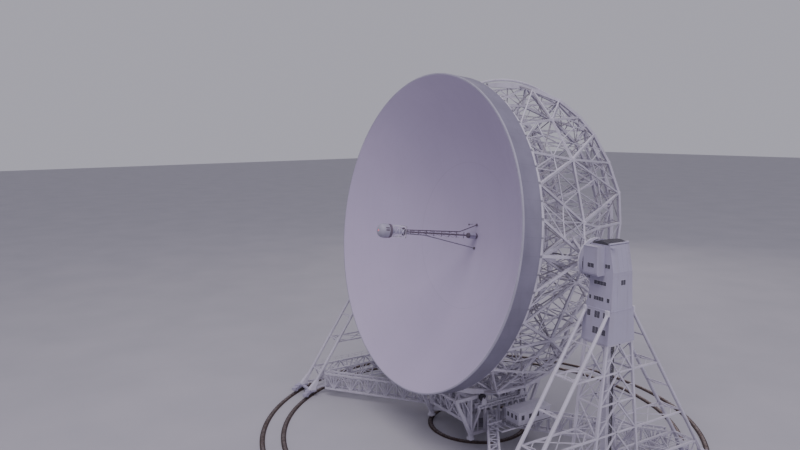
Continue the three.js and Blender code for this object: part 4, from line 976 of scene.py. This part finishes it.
def build_cradle(hand, side):
    """Two beams on the centre frame with a roller at each end under the wheel girder's rim."""
    beams, rollers = Shape(), Shape()
    bottom, top, reach = 9.0, 10.1, 8.0
    roller_y = 6.1
    roller_z = AXIS_HEIGHT - math.sqrt((WHEEL_RADIUS + 0.92) ** 2 - roller_y ** 2)
    for x in (9.42, 10.66):
        for level in (bottom + 0.12, top - 0.12):
            beams.bar(vec(side * x, -reach, level), vec(side * x, reach, level), 0.42, 0.24)
        for k in range(9):
            y = lerp(-reach + 0.2, reach - 0.2, k / 8)
            beams.bar(vec(side * x, y, bottom), vec(side * x, y, top), 0.24)
            if k < 8:
                ahead = lerp(-reach + 0.2, reach - 0.2, (k + 1) / 8)
                low, high = (bottom, top) if k % 2 else (top, bottom)
                beams.bar(vec(side * x, y, low), vec(side * x, ahead, high), 0.18)
        for end in (-1, 1):
            y = end * roller_y
            levels = ((0.85, top - 0.1), (0.7, top + 0.5), (0.35, roller_z + 0.1))
            beams.loops([rectangle(side * x, y, z, 0.12, half) for half, z in levels])
    for k in range(5):
        y = lerp(-reach + 0.3, reach - 0.3, k / 4)
        beams.bar(vec(side * 9.3, y, bottom + 0.5), vec(side * 10.8, y, bottom + 0.5), 0.24, 0.8)
    for end in (-1, 1):
        hub = vec(side * WHEEL_PLANE, end * roller_y, roller_z)
        rollers.disc(hub, vec(1, 0, 0), 0.9, 0.9, 36, 0.2)
        rollers.disc(hub, vec(1, 0, 0), 0.2, 1.7, 16)
    piece(f"cradle_beams_{hand}", beams, "turntable", "lattice_paint", replaces=[f"roller_cradle_{hand}"])
    piece(f"cradle_rollers_{hand}", rollers, "turntable", "dark_steel", True)


# Housings: windows, sheet joints, roof and hood

# Windows on the front: inner and outer side, bottom, top, and how many panes
FRONT_WINDOWS = [
    (42.6, 44.3, 49.9, 50.8, 2), (45.24, 46.6, 49.75, 50.6, 2), (42.55, 45.8, 46.15, 46.95, 4),
    (41.44, 42.05, 42.9, 43.75, 1), (42.7, 45.35, 42.9, 43.75, 4), (46.15, 46.9, 42.9, 43.75, 1),
    (41.44, 42.36, 39.45, 40.75, 1), (43.4, 44.85, 39.4, 40.8, 2), (45.7, 46.6, 39.6, 40.8, 1),
    (43.2, 44.75, 36.15, 37.55, 2), (45.7, 46.7, 36.15, 37.35, 1),
]
SIDE_WINDOW = (-0.49, 0.82, 46.32, 47.38)
# How deep a panel reaches into the wall
PANEL_BACK = 0.04


def housing_level(z, column):
    """A size of the housing's body at this height, read between its levels."""
    for low, high in zip(HOUSING_LEVELS, HOUSING_LEVELS[1:]):
        if z <= high[0]:
            return lerp(low[column], high[column], (z - low[0]) / (high[0] - low[0]))
    return HOUSING_LEVELS[-1][column]


def housing_front(z, x):
    """How far the housing's front stands from the tilting axis."""
    if z < APRON_TOP:
        return lerp(APRON_BOTTOM_HALF, APRON_TOP_HALF, (z - APRON_BOTTOM) / (APRON_TOP - APRON_BOTTOM))
    if z > BAY_BOTTOM and x < BAY_OUTER:
        return BAY_FRONT
    return housing_level(z, 2)


def front_panel(shape, side, x0, x1, z0, z1, proud):
    rings = []
    for z in (z0, z1):
        face = housing_front(z, (x0 + x1) / 2)
        rings.append([vec(side * x0, -face - proud, z), vec(side * x1, -face - proud, z),
                      vec(side * x1, -face + PANEL_BACK, z), vec(side * x0, -face + PANEL_BACK, z)])
    shape.loops(rings)


def side_panel(shape, side, y0, y1, z0, z1, proud):
    rings = []
    for z in (z0, z1):
        face = APRON_OUTER if z < APRON_TOP else housing_level(z, 1)
        rings.append([vec(side * (face + proud), y0, z), vec(side * (face + proud), y1, z),
                      vec(side * (face - PANEL_BACK), y1, z), vec(side * (face - PANEL_BACK), y0, z)])
    shape.loops(rings)


def frame_strips(low, high, z0, z1, edge, end_edge):
    """The strips round a window: above it, below it and at its two sides."""
    return ((low - edge, high + edge, z1, z1 + end_edge), (low - edge, high + edge, z0 - end_edge, z0),
            (low - edge, low, z0, z1), (high, high + edge, z0, z1))


def framed_window(panel, glass, trim, side, low, high, z0, z1, panes):
    """Glass in a thin frame with bars between its panes, on a front or side panel."""
    panel(glass, side, low, high, z0, z1, 0.03)
    for strip in frame_strips(low, high, z0, z1, 0.035, 0.035):
        panel(trim, side, *strip, 0.05)
    for k in range(1, panes):
        at = lerp(low, high, k / panes)
        panel(trim, side, at - 0.015, at + 0.015, z0, z1, 0.04)


def build_housing(hand, side):
    glass, trim, seams = Shape(), Shape(), Shape()
    for x0, x1, z0, z1, panes in FRONT_WINDOWS:
        framed_window(front_panel, glass, trim, side, x0, x1, z0, z1, panes)
    framed_window(side_panel, glass, trim, side, *SIDE_WINDOW, 2)
    for z in (APRON_TOP - 0.08, 49.0):
        outer = APRON_OUTER if z < APRON_TOP else BAY_OUTER
        front_panel(seams, side, HOUSING_INNER + 0.12, outer - 0.05, z - 0.1, z - 0.02, 0.05)
    # Upright joints of the front's sheets: where they stand, then the heights they run between
    for places, *spans in (
        ((42.4, 43.6, 45.3, 46.4), (APRON_BOTTOM + 0.1, APRON_TOP - 0.2)),
        ((42.3, 44.0, 45.9), (41.45, 44.5), (44.5, 48.15)),
        ((42.5, 44.3), (48.75, 54.0)),
    ):
        for x0 in places:
            for z0, z1 in spans:
                front_panel(seams, side, x0, x0 + 0.05, z0, z1, 0.02)
    for y in (-2.2, -0.95, 0.3, 1.55, 2.4):
        side_panel(seams, side, y, y + 0.05, 49.1, 54.2, 0.02)
    for y in (-1.4, 1.55):
        side_panel(seams, side, y, y + 0.04, 41.5, 48.2, 0.012)
        side_panel(seams, side, y, y + 0.04, APRON_BOTTOM + 0.1, APRON_TOP - 0.2, 0.012)
    side_panel(seams, side, -APRON_TOP_HALF, APRON_TOP_HALF, APRON_TOP - 0.2, APRON_TOP - 0.02, 0.08)
    for k in range(11):
        y = lerp(-2.4, 2.3, k / 10)
        for z in (48.35, 49.0):
            side_panel(seams, side, y, y + 0.2, z - 0.12, z - 0.04, 0.03)
    corner = vec(side * (BAY_OUTER - 0.12), -BAY_FRONT + 0.12, 0)
    seams.bar(corner + vec(0, 0, 48.62), corner + vec(0, 0, BAY_TOP - 0.04), 0.3, sides=14)
    for sign in (-1, 1):
        for x, width in zip(TOWER_PLANES, (0.34, 0.5)):
            head = sign * (housing_front(40.9, 0) + 0.05)
            low, high = sorted((head, head + sign * 0.5))
            trim.chamfered((side * x - width, low, 40.3), (side * x + width, high, 41.5), 0.08)
    piece(f"housing_glass_{hand}", glass, "turntable", "window_glass")
    piece(f"housing_trim_{hand}", trim, "turntable", "light_trim")
    piece(f"housing_seams_{hand}", seams, "turntable", "panel_paint")

    roof = Shape()
    inner, outer, half, rise = 41.5, 46.2, 2.6, 0.62
    bottom, steps = HOUSING_LEVELS[-1][0] + SEAT, 14
    arch = [(lerp(inner, outer, k / steps), bottom + 0.06 + rise * math.sin(math.pi * (k + 0.6) / (steps + 1.2)))
            for k in range(steps + 1)]
    outline = [(inner, bottom), *arch, (outer, bottom)]
    roof.loops([[vec(side * x, y, z) for x, z in outline] for y in (-half, half)])
    for k in range(1, 6):
        y = lerp(-half, half, k / 6)
        ribs = [(x, z + 0.04) for x, z in arch] + [(x, z - 0.02) for x, z in reversed(arch)]
        roof.loops([[vec(side * x, y + shift, z) for x, z in ribs] for shift in (-0.03, 0.03)])
    piece(f"housing_roof_{hand}", roof, "turntable", "roof_felt", replaces=[f"motor_roof_{hand}"])
    curb = Shape()
    curb.bar(vec(side * 46.12, -2.72, 54.62), vec(side * 46.12, 2.72, 54.62), 0.4, sides=16)
    curb.bar(vec(side * 46.12, 2.0, 54.66), vec(side * 46.12, 2.74, 54.66), 0.6, sides=16)
    curb.bar(vec(side * 41.46, -2.68, 54.5), vec(side * 41.46, 2.68, 54.5), 0.2, sides=12)
    low_x, high_x = sorted((side * 46.3, side * 47.0))
    curb.chamfered((low_x, -2.72, 53.9), (high_x, -1.7, 54.14), 0.05)
    bay_low, bay_high = sorted((side * (BAY_INNER + 0.03), side * (BAY_OUTER - 0.03)))
    curb.box((bay_low, -BAY_FRONT - 0.06, BAY_TOP - 0.03), (bay_high, -2.8, BAY_TOP + 0.08))
    piece(f"housing_curbs_{hand}", curb, "turntable", "panel_paint", True)

    hood, rim, gap_shadow = Shape(), Shape(), Shape()
    segments = 44
    wall, far_wall = side * (HOUSING_INNER - SEAT), side * (HOUSING_INNER - SEAT - 1.65)
    def arc(radius, x_at):
        turns = [math.radians(lerp(-32.0, 212.0, k / segments)) for k in range(segments + 1)]
        return [vec(x_at, radius * math.cos(t), AXIS_HEIGHT + radius * math.sin(t)) for t in turns]
    def band(shape, outer_radius, inner_radius, x0, x1):
        rings = zip(arc(outer_radius, x0), arc(outer_radius, x1), arc(inner_radius, x1), arc(inner_radius, x0))
        shape.loops([list(ring) for ring in rings])
    band(hood, 4.62, 4.43, wall, far_wall)
    for degrees in (-20, 6, 34, 62, 90, 118, 146, 174, 200):
        turn = math.radians(degrees)
        at = lambda radius, x, t: vec(x, radius * math.cos(t), AXIS_HEIGHT + radius * math.sin(t))
        hood.loops([[at(r, x, turn + t) for r, t in ((4.6, -0.01), (4.64, -0.01), (4.64, 0.01), (4.6, 0.01))]
                    for x in (wall - side * 0.3, far_wall + side * 0.14)])
    band(rim, 4.72, 4.36, far_wall - side * 0.04, far_wall + side * 0.26)
    # A dark band on the hood beside the housing wall: painted shadow of the gap between hood and housing
    band(gap_shadow, 4.64, 4.5, wall - side * 0.42, wall - side * 0.02)
    piece(f"hood_sheet_{hand}", hood, "turntable", "panel_paint", True, [f"rack_hood_{hand}"])
    piece(f"hood_rim_{hand}", rim, "turntable", "light_trim", True)
    piece(f"hood_gap_shadow_{hand}", gap_shadow, "turntable", "dark_steel", True)


# Corner trucks: wheels, side plates and cases, with a shoe under each leg

def build_trucks(hand, side, way, end):
    cases, wheels = Shape(), Shape()
    for x, radius in zip(TOWER_PLANES, (TRACK_RADII["inner_track"], TRACK_RADII["outer_track"])):
        y = math.sqrt(radius ** 2 - x ** 2)
        angle = math.atan2(end * y, side * x)
        outward = vec(math.cos(angle), math.sin(angle), 0)
        tangent = vec(-math.sin(angle), math.cos(angle), 0)
        centre = vec(side * x, end * y, 0)
        for step in (-2.0, 2.0):
            hub = centre + tangent * step
            wheels.disc(hub + vec(0, 0, TRACK_HEIGHT + 0.465), outward, 0.46, 0.52, 28, 0.1)
            wheels.disc(hub + vec(0, 0, TRACK_HEIGHT + 0.465), outward, 0.16, 0.9, 16)
            case_low = hub - tangent * 0.95
            case_high = hub + tangent * 0.95
            cases.bar(case_low + vec(0, 0, 1.5), case_high + vec(0, 0, 1.5), 1.3, 0.7)
            for shift in (-0.62, 0.62):
                cases.bar(hub + outward * shift - tangent * 0.4 + vec(0, 0, 1.05),
                          hub + outward * shift + tangent * 0.4 + vec(0, 0, 1.05), 0.12, 0.6)
        cases.bar(centre - tangent * 1.2 + vec(0, 0, 1.95), centre + tangent * 1.2 + vec(0, 0, 1.95), 1.5, 0.5)
    piece(f"truck_cases_{way}_{hand}", cases, "turntable", "panel_paint")
    piece(f"truck_wheels_{way}_{hand}", wheels, "turntable", "dark_steel", True)
    shoes = Shape()
    for x in TOWER_PLANES:
        z0, z1 = 2.0, 4.6
        y0, y1 = end * raker_y(z0), end * raker_y(z1)
        levels = ((y0, z0, 0.8, 1.0), (y0 - end * 0.2, z0 + 0.5, 0.72, 0.9), (y1, z1, 0.45, 0.5))
        shoes.loops([rectangle(side * x, *level) for level in levels])
    piece(f"leg_shoes_{way}_{hand}", shoes, "turntable", "light_trim")


for hand, side in (("right", 1), ("left", -1)):
    build_flank(hand, side)
    build_rack(hand, side)
    build_tower_frame(hand, side)
    build_tower_bracing(hand, side)
    build_base_girder(hand, side)
    build_cradle(hand, side)
    build_housing(hand, side)
    for way, end in (("front", -1), ("rear", 1)):
        build_raking_legs(hand, side, way, end)
        build_diametral_girder(hand, side, way, end)
        build_trucks(hand, side, way, end)


# Centre: bracing inside the frame, tanks, walkway and feet, then the control cabin on its deck

def build_centre():
    fine = Shape()
    p, plane, over = 8.45, CENTRE_PLANE, CENTRE_OVERHANG
    lower, upper = 4.8, 11.4
    for end in (-1, 1):
        fine.bar(vec(-p, end * p, CENTRE_TOP), vec(p, -end * p, CENTRE_TOP), 0.34)
        for x in (-p, p):
            fine.bar(vec(x, end * p, lower), vec(0, 0, upper), 0.34)
        for x in (-plane, plane):
            fine.bar(vec(x, end * plane, 2.4), vec(x, end * over, upper), 0.3)
            fine.bar(vec(x, end * 11.0, upper), vec(x, end * plane, 6.9), 0.24)
            for k in range(4):
                y0 = end * lerp(0, plane, k / 4)
                fine.bar(vec(x, y0, 2.6), vec(x, y0, upper), 0.24)
        for k in range(5):
            x = lerp(-8.0, 8.0, k / 4)
            fine.bar(vec(x, end * over, CENTRE_TOP), vec(x * 0.9, end * plane, 5.2), 0.26)
        fine.bar(vec(-plane, end * over, CENTRE_TOP), vec(plane, end * over, CENTRE_TOP), 0.5)
    for k in range(1, 4):
        level = lerp(-8.4, 8.4, k / 4)
        fine.bar(vec(level, -8.6, 11.7), vec(level, 8.6, 11.7), 0.3)
        fine.bar(vec(-8.6, level, 11.7), vec(8.6, level, 11.7), 0.3)
    for angle in (45, 135, 225, 315):
        way = vec(math.cos(math.radians(angle)), math.sin(math.radians(angle)), 0)
        fine.bar(way * 2.9 + vec(0, 0, 4.2), way * 11.6 + vec(0, 0, 10.8), 0.36)
    piece("centre_bracing", fine, "turntable", "lattice_paint")
    # Tanks: a drum, its narrower ends and three hoops, by radius and share of the length
    tanks = Shape()
    drum = ((0.85, 0.03, 0.97), (0.7, 0.0, 1.0), (0.9, 0.2, 0.215), (0.9, 0.5, 0.515), (0.9, 0.8, 0.815))
    for y in (-4.6, -2.2):
        start, stop = vec(-6.4, y, 9.3), vec(6.4, y, 9.3)
        for radius, a, b in drum:
            tanks.bar(lerp(start, stop, a), lerp(start, stop, b), radius * 2, sides=20)
    piece("centre_tanks", tanks, "turntable", "light_trim", True)
    deck = Shape()
    outer, inner = WALK_OUTER, WALK_INNER
    for x0, y0, x1, y1 in ((-outer, -outer, outer, -inner), (-outer, inner, outer, outer),
                           (-outer, -inner, -inner, inner), (inner, -inner, outer, inner)):
        deck.box((x0, y0, WALK_BOTTOM), (x1, y1, WALK_TOP))
    piece("centre_walkway", deck, "turntable", "deck_grid")
    feet = Shape()
    for x in (-1, 1):
        for y in (-1, 1):
            place = lambda r, h, t, x=x, y=y: vec(
                x * CENTRE_PLANE + r * math.cos(t), y * CENTRE_PLANE + r * math.sin(t), h,
            )
            feet.turned([(0.02, 1.0), (1.05, 1.0), (1.05, 1.25), (0.6, 1.6), (0.5, 2.3), (0.02, 2.3)], 24, place)
    piece("centre_feet", feet, "turntable", "light_trim", True)


def handrail(shape, points, post_every=2.0):
    height = 1.1
    for start, end in zip(points, points[1:]):
        for level in (height * 0.5, height):
            shape.bar(start + vec(0, 0, level), end + vec(0, 0, level), 0.07, sides=6)
        count = max(1, round((end - start).length / post_every))
        for k in range(count + 1):
            foot = lerp(start, end, k / count)
            shape.bar(foot, foot + vec(0, 0, height), 0.07, sides=6)


def build_cabin():
    deck = Shape()
    for x in (15.65, 20.75):
        deck.bar(vec(x, -8.8, 7.28), vec(x, 8.8, 7.28), 0.4, 0.22)
    for k in range(12):
        y = lerp(-8.6, 8.6, k / 11)
        deck.bar(vec(15.5, y, 7.26), vec(20.9, y, 7.26), 0.16, 0.16)
    piece("cabin_deck_beams", deck, "turntable", "lattice_paint", replaces=["cabin_deck"])
    floor = Shape()
    floor.box((15.4, -4.6, 7.34), (21.0, 7.6, 7.4))
    piece("cabin_deck_sheet", floor, "turntable", "deck_grid")
    walls = Shape()
    low_x, high_x, front, rear, foot = 15.8, 20.6, -3.4, 6.6, 7.4
    walls.chamfered((low_x, front, foot), (high_x, rear, 10.4), 0.05)
    for k in range(1, 20):
        y = lerp(front, rear, k / 20)
        walls.box((15.77, y - 0.03, 7.42), (20.63, y + 0.03, 10.3))
    roof = ((15.6, 10.38), (20.8, 10.38), (20.8, 10.5), (18.2, 10.72), (15.6, 10.5))
    walls.loops([[vec(x, y, z) for x, z in roof] for y in (-3.6, 6.8)])
    piece("cabin_walls", walls, "turntable", "light_trim", replaces=["control_cabin"])
    glass, trim = Shape(), Shape()
    sill, lintel = 8.6, 9.75
    for k in range(3):
        x0 = 16.35 + k * 1.45
        glass.box((x0, front - 0.03, sill), (x0 + 0.75, front + 0.02, lintel))
        for a, b, z0, z1 in frame_strips(x0, x0 + 0.75, sill, lintel, 0.08, 0.1):
            trim.box((a, front - 0.08, z0), (b, front + 0.02, z1))
    for k in range(4):
        y0 = -2.6 + k * 2.3
        glass.box((20.58, y0, sill), (20.63, y0 + 0.9, lintel))
        for a, b, z0, z1 in frame_strips(y0, y0 + 0.9, sill, lintel, 0.08, 0.1):
            trim.box((20.58, a, z0), (20.68, b, z1))
    piece("cabin_glass", glass, "turntable", "window_glass")
    piece("cabin_trim", trim, "turntable", "light_trim")
    rails = Shape()
    corners = ((15.5, -4.5), (20.9, -4.5), (20.9, 7.5), (15.5, 7.5), (15.5, -4.5))
    handrail(rails, [vec(x, y, foot) for x, y in corners])
    edge = WALK_OUTER
    for end in (-1, 1):
        handrail(rails, [vec(-edge, end * edge, WALK_TOP), vec(edge, end * edge, WALK_TOP)])
    for side in (-1, 1):
        handrail(rails, [vec(side * edge, -edge, WALK_TOP), vec(side * edge, edge, WALK_TOP)])
        for x in TOWER_PLANES:
            reach = raker_y(BASE_UPPER) - 3.0
            for y0, y1 in ((-reach, -7.6), (7.6, reach)):
                handrail(rails, [vec(side * x, y0, 7.2), vec(side * x, y1, 7.2)], 2.4)
    piece("handrails", rails, "turntable", "lattice_paint")


build_centre()
build_cabin()


# Focus mast, cage and receiver drum

def mast_half(ahead):
    """Half the mast's width between its head and the point where it bends."""
    return lerp(HEAD_HALF, KINK_HALF, (MAST_HEAD - ahead) / (MAST_HEAD - MAST_KINK))


def build_mast():
    tubes, dark, trim = Shape(), Shape(), Shape()
    kink, head = MAST_KINK, MAST_HEAD
    # The upper and lower tubes splay: shape, where the splay starts, and how far out the foot stands
    splayed = {90: (tubes, kink, 2.8), 270: (trim, 16.4, 3.2)}
    bays = 9
    for degrees in (0, 90, 180, 270):
        def at(offset, ahead, turn=0):
            angle = math.radians(degrees + turn)
            return in_bowl(offset * math.cos(angle), ahead, offset * math.sin(angle))
        target, splay, reach = splayed.get(degrees, (tubes, kink, 0.66))
        foot_ahead = dish_ahead(reach) + 0.2
        target.bar(at(HEAD_HALF, head), at(mast_half(splay), splay), 0.24, sides=10)
        target.bar(at(mast_half(splay), splay), at(reach, foot_ahead), 0.24, sides=10)
        if reach > 1:
            tubes.disc(at(reach, foot_ahead), in_bowl(0, 1, 0) - in_bowl(0, 0, 0), 0.34, 0.5, 16)
        for k in range(bays):
            low, high = (at(lerp(KINK_HALF, HEAD_HALF, i / bays), lerp(kink, head, i / bays), turn)
                         for i, turn in ((k, 0), (k + 1, 90)))
            dark.bar(low, high, 0.06, sides=6)
    for side in (-0.16, 0.16):
        dark.bar(in_bowl(side, 1.0, 0), in_bowl(side, head, 0), 0.1, sides=8)
    for k in range(34):
        ahead = 3.6 + k * 0.4
        dark.bar(in_bowl(-0.2, ahead, 0), in_bowl(0.2, ahead, 0), 0.06, sides=6)
        dark.bar(in_bowl(0, ahead, -0.2), in_bowl(0, ahead, 0.2), 0.06, sides=6)
    drum = [(0.02, 0.5), (0.68, 0.5), (0.7, 0.62), (0.7, 1.5), (0.64, 1.55), (0.64, 1.75), (0.7, 1.8), (0.7, 3.25),
            (0.62, 3.4), (0.02, 3.4)]
    dark.turned(drum, 32, polar)
    dark.turned([(0.5, head - 0.08), (0.98, head - 0.08), (0.98, head + 0.08), (0.5, head + 0.08)], 24, polar)
    for k in range(8):
        ahead = lerp(kink - 1.5, head - 2.0, k / 7)
        offset = lerp(KINK_HALF, HEAD_HALF, max(0.0, (ahead - kink) / (head - kink)))
        dark.bar(in_bowl(0, ahead, -offset), in_bowl(0, ahead, offset), 0.16, 0.05)
        dark.bar(in_bowl(-offset, ahead, 0), in_bowl(offset, ahead, 0), 0.16, 0.05)
    aerial = [polar(3.3, dish_ahead(3.3), 2.1), polar(3.1, dish_ahead(3.3) + 1.5, 2.1)]
    dark.bar(*aerial, 0.1, sides=8)
    dark.disc(aerial[1], aerial[1] - aerial[0], 0.24, 0.2, 12)
    piece("mast_tubes", tubes, "bowl", "mast_paint", True, ["focus_mast"])
    piece("mast_dark_parts", dark, "bowl", "mast_paint", True)
    piece("mast_light_tube", trim, "bowl", "machine_grey", True)
    sleeve = Shape()
    sleeve.turned([(0.6, 1.15), (0.76, 1.15), (0.78, 1.25), (0.78, 2.85), (0.76, 2.95), (0.6, 2.95)], 32, polar)
    piece("mast_sleeve", sleeve, "bowl", "panel_paint", True)

    cage = Shape()
    half, rear, front = 1.3, 22.75, 26.45
    corners = [(half, half), (-half, half), (-half, -half), (half, -half)]
    levels = [rear, lerp(rear, front, 0.5), front]
    for ahead in levels:
        ring = [in_bowl(x, ahead, u) for x, u in corners]
        cage.path(ring + ring[:1], 0.12, sides=6)
        for x, u in corners:
            cage.bar(in_bowl(x, ahead, u), in_bowl(0, ahead, 0), 0.08, sides=6)
    for i, (x, u) in enumerate(corners):
        nx, nu = corners[(i + 1) % 4]
        cage.bar(in_bowl(x, rear, u), in_bowl(x, front, u), 0.14, sides=6)
        for a, b in zip(levels, levels[1:]):
            cage.bar(in_bowl(x, a, u), in_bowl(nx, b, nu), 0.08, sides=6)
            cage.bar(in_bowl(nx, a, nu), in_bowl(x, b, u), 0.08, sides=6)
    piece("cage_bars", cage, "bowl", "light_trim", True, ["focus_cage"])
    core, edge = Shape(), Shape()
    core.turned([(0.1, rear), (0.62, rear), (0.62, front), (0.1, front)], 20, polar)
    piece("cage_core", core, "bowl", "panel_paint", True)
    edge.path([in_bowl(x * 1.04, rear - 0.08, u * 1.04) for x, u in corners + corners[:1]], 0.12, sides=6)
    piece("cage_edge", edge, "bowl", "mast_paint", True)

    drum = Shape()
    rear = 26.5 + SEAT
    drum.turned([
        (0.02, rear + 0.7), (1.62, rear + 0.7), (1.68, rear + 0.76), (1.69, rear + 1.9), (1.6, rear + 2.3),
        (1.42, rear + 2.65), (1.1, rear + 2.9), (0.7, rear + 3.04), (0.02, rear + 3.09),
    ], 48, polar)
    piece("receiver_drum", drum, "bowl", "lip_paint", True, ["focus_drum"])
    ring = Shape()
    ring.turned([(0.02, rear), (1.62, rear), (1.67, rear + 0.06), (1.67, rear + 0.69), (0.02, rear + 0.69)], 48, polar)
    for degrees in (20, 110, 200, 290):
        for shift in (-9, 9):
            angle = math.radians(degrees + shift)
            a0, a1 = angle - 0.1, angle + 0.1
            rings = [[polar(r, rear + 0.9, a0), polar(r, rear + 0.9, a1), polar(r, rear + 1.9, a1),
                      polar(r, rear + 1.9, a0)] for r in (1.6, 1.7)]
            ring.loops(rings)
    piece("receiver_dark_ring", ring, "bowl", "mast_paint", True)
    lamp = Shape()
    lamp.turned([(0.02, rear + 3.0), (0.26, rear + 3.0), (0.26, rear + 3.06), (0.16, rear + 3.095), (0.02, rear + 3.1)],
                16, polar)
    piece("receiver_lamp", lamp, "bowl", "red_lamp", True)


build_mast()


# Floor and light

def build_stage():
    mesh = bpy.data.meshes.new("floor")
    reach, level = 150.0, -0.002
    corners = [(x * reach, y * reach, level) for x, y in ((-1, -1), (1, -1), (1, 1), (-1, 1))]
    mesh.from_pydata(corners, [], [(0, 1, 2, 3)])
    floor = bpy.data.objects.new("floor", mesh)
    bpy.context.scene.collection.objects.link(floor)
    material, tree, bsdf, place = new_material("pale_floor")
    tree.links.new(ramp(tree, noise(tree, place, 0.4, 4), (0.44, 0.43, 0.475), (0.48, 0.465, 0.51)),
                   bsdf.inputs["Base Color"])
    bsdf.inputs["Roughness"].default_value = 0.9
    mesh.materials.append(material)
    floor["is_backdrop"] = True


def add_area(name, place, target, size, power, colour):
    light = bpy.data.lights.new(name, "AREA")
    light.shape = "DISK"
    light.size = size
    light.energy = power
    light.color = colour
    made = bpy.data.objects.new(name, light)
    made.location = place
    made.rotation_euler = (Vector(target) - Vector(place)).to_track_quat("-Z", "Y").to_euler()
    bpy.context.scene.collection.objects.link(made)


def add_lights():
    world = bpy.data.worlds.new("studio")
    bpy.context.scene.world = world
    world.use_nodes = True
    background = world.node_tree.nodes["Background"]
    background.inputs["Color"].default_value = (0.8, 0.78, 0.9, 1)
    background.inputs["Strength"].default_value = 0.55
    add_area("key", (9, -14, 32), (0, 0, 3), 20, 4600, (1.0, 0.95, 0.98))
    add_area("fill", (26, -2, 12), (0, 0, 4), 12, 1300, (0.97, 0.94, 1.0))
    add_area("back", (-16, 22, 16), (0, 0, 5), 12, 900, (1.0, 0.9, 0.88))


build_stage()
add_lights()

visual_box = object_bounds()
as_numbers = lambda value: [[float(c) for c in corner] for corner in value]
{"cad": as_numbers(cad_box), "visual": as_numbers(visual_box)}
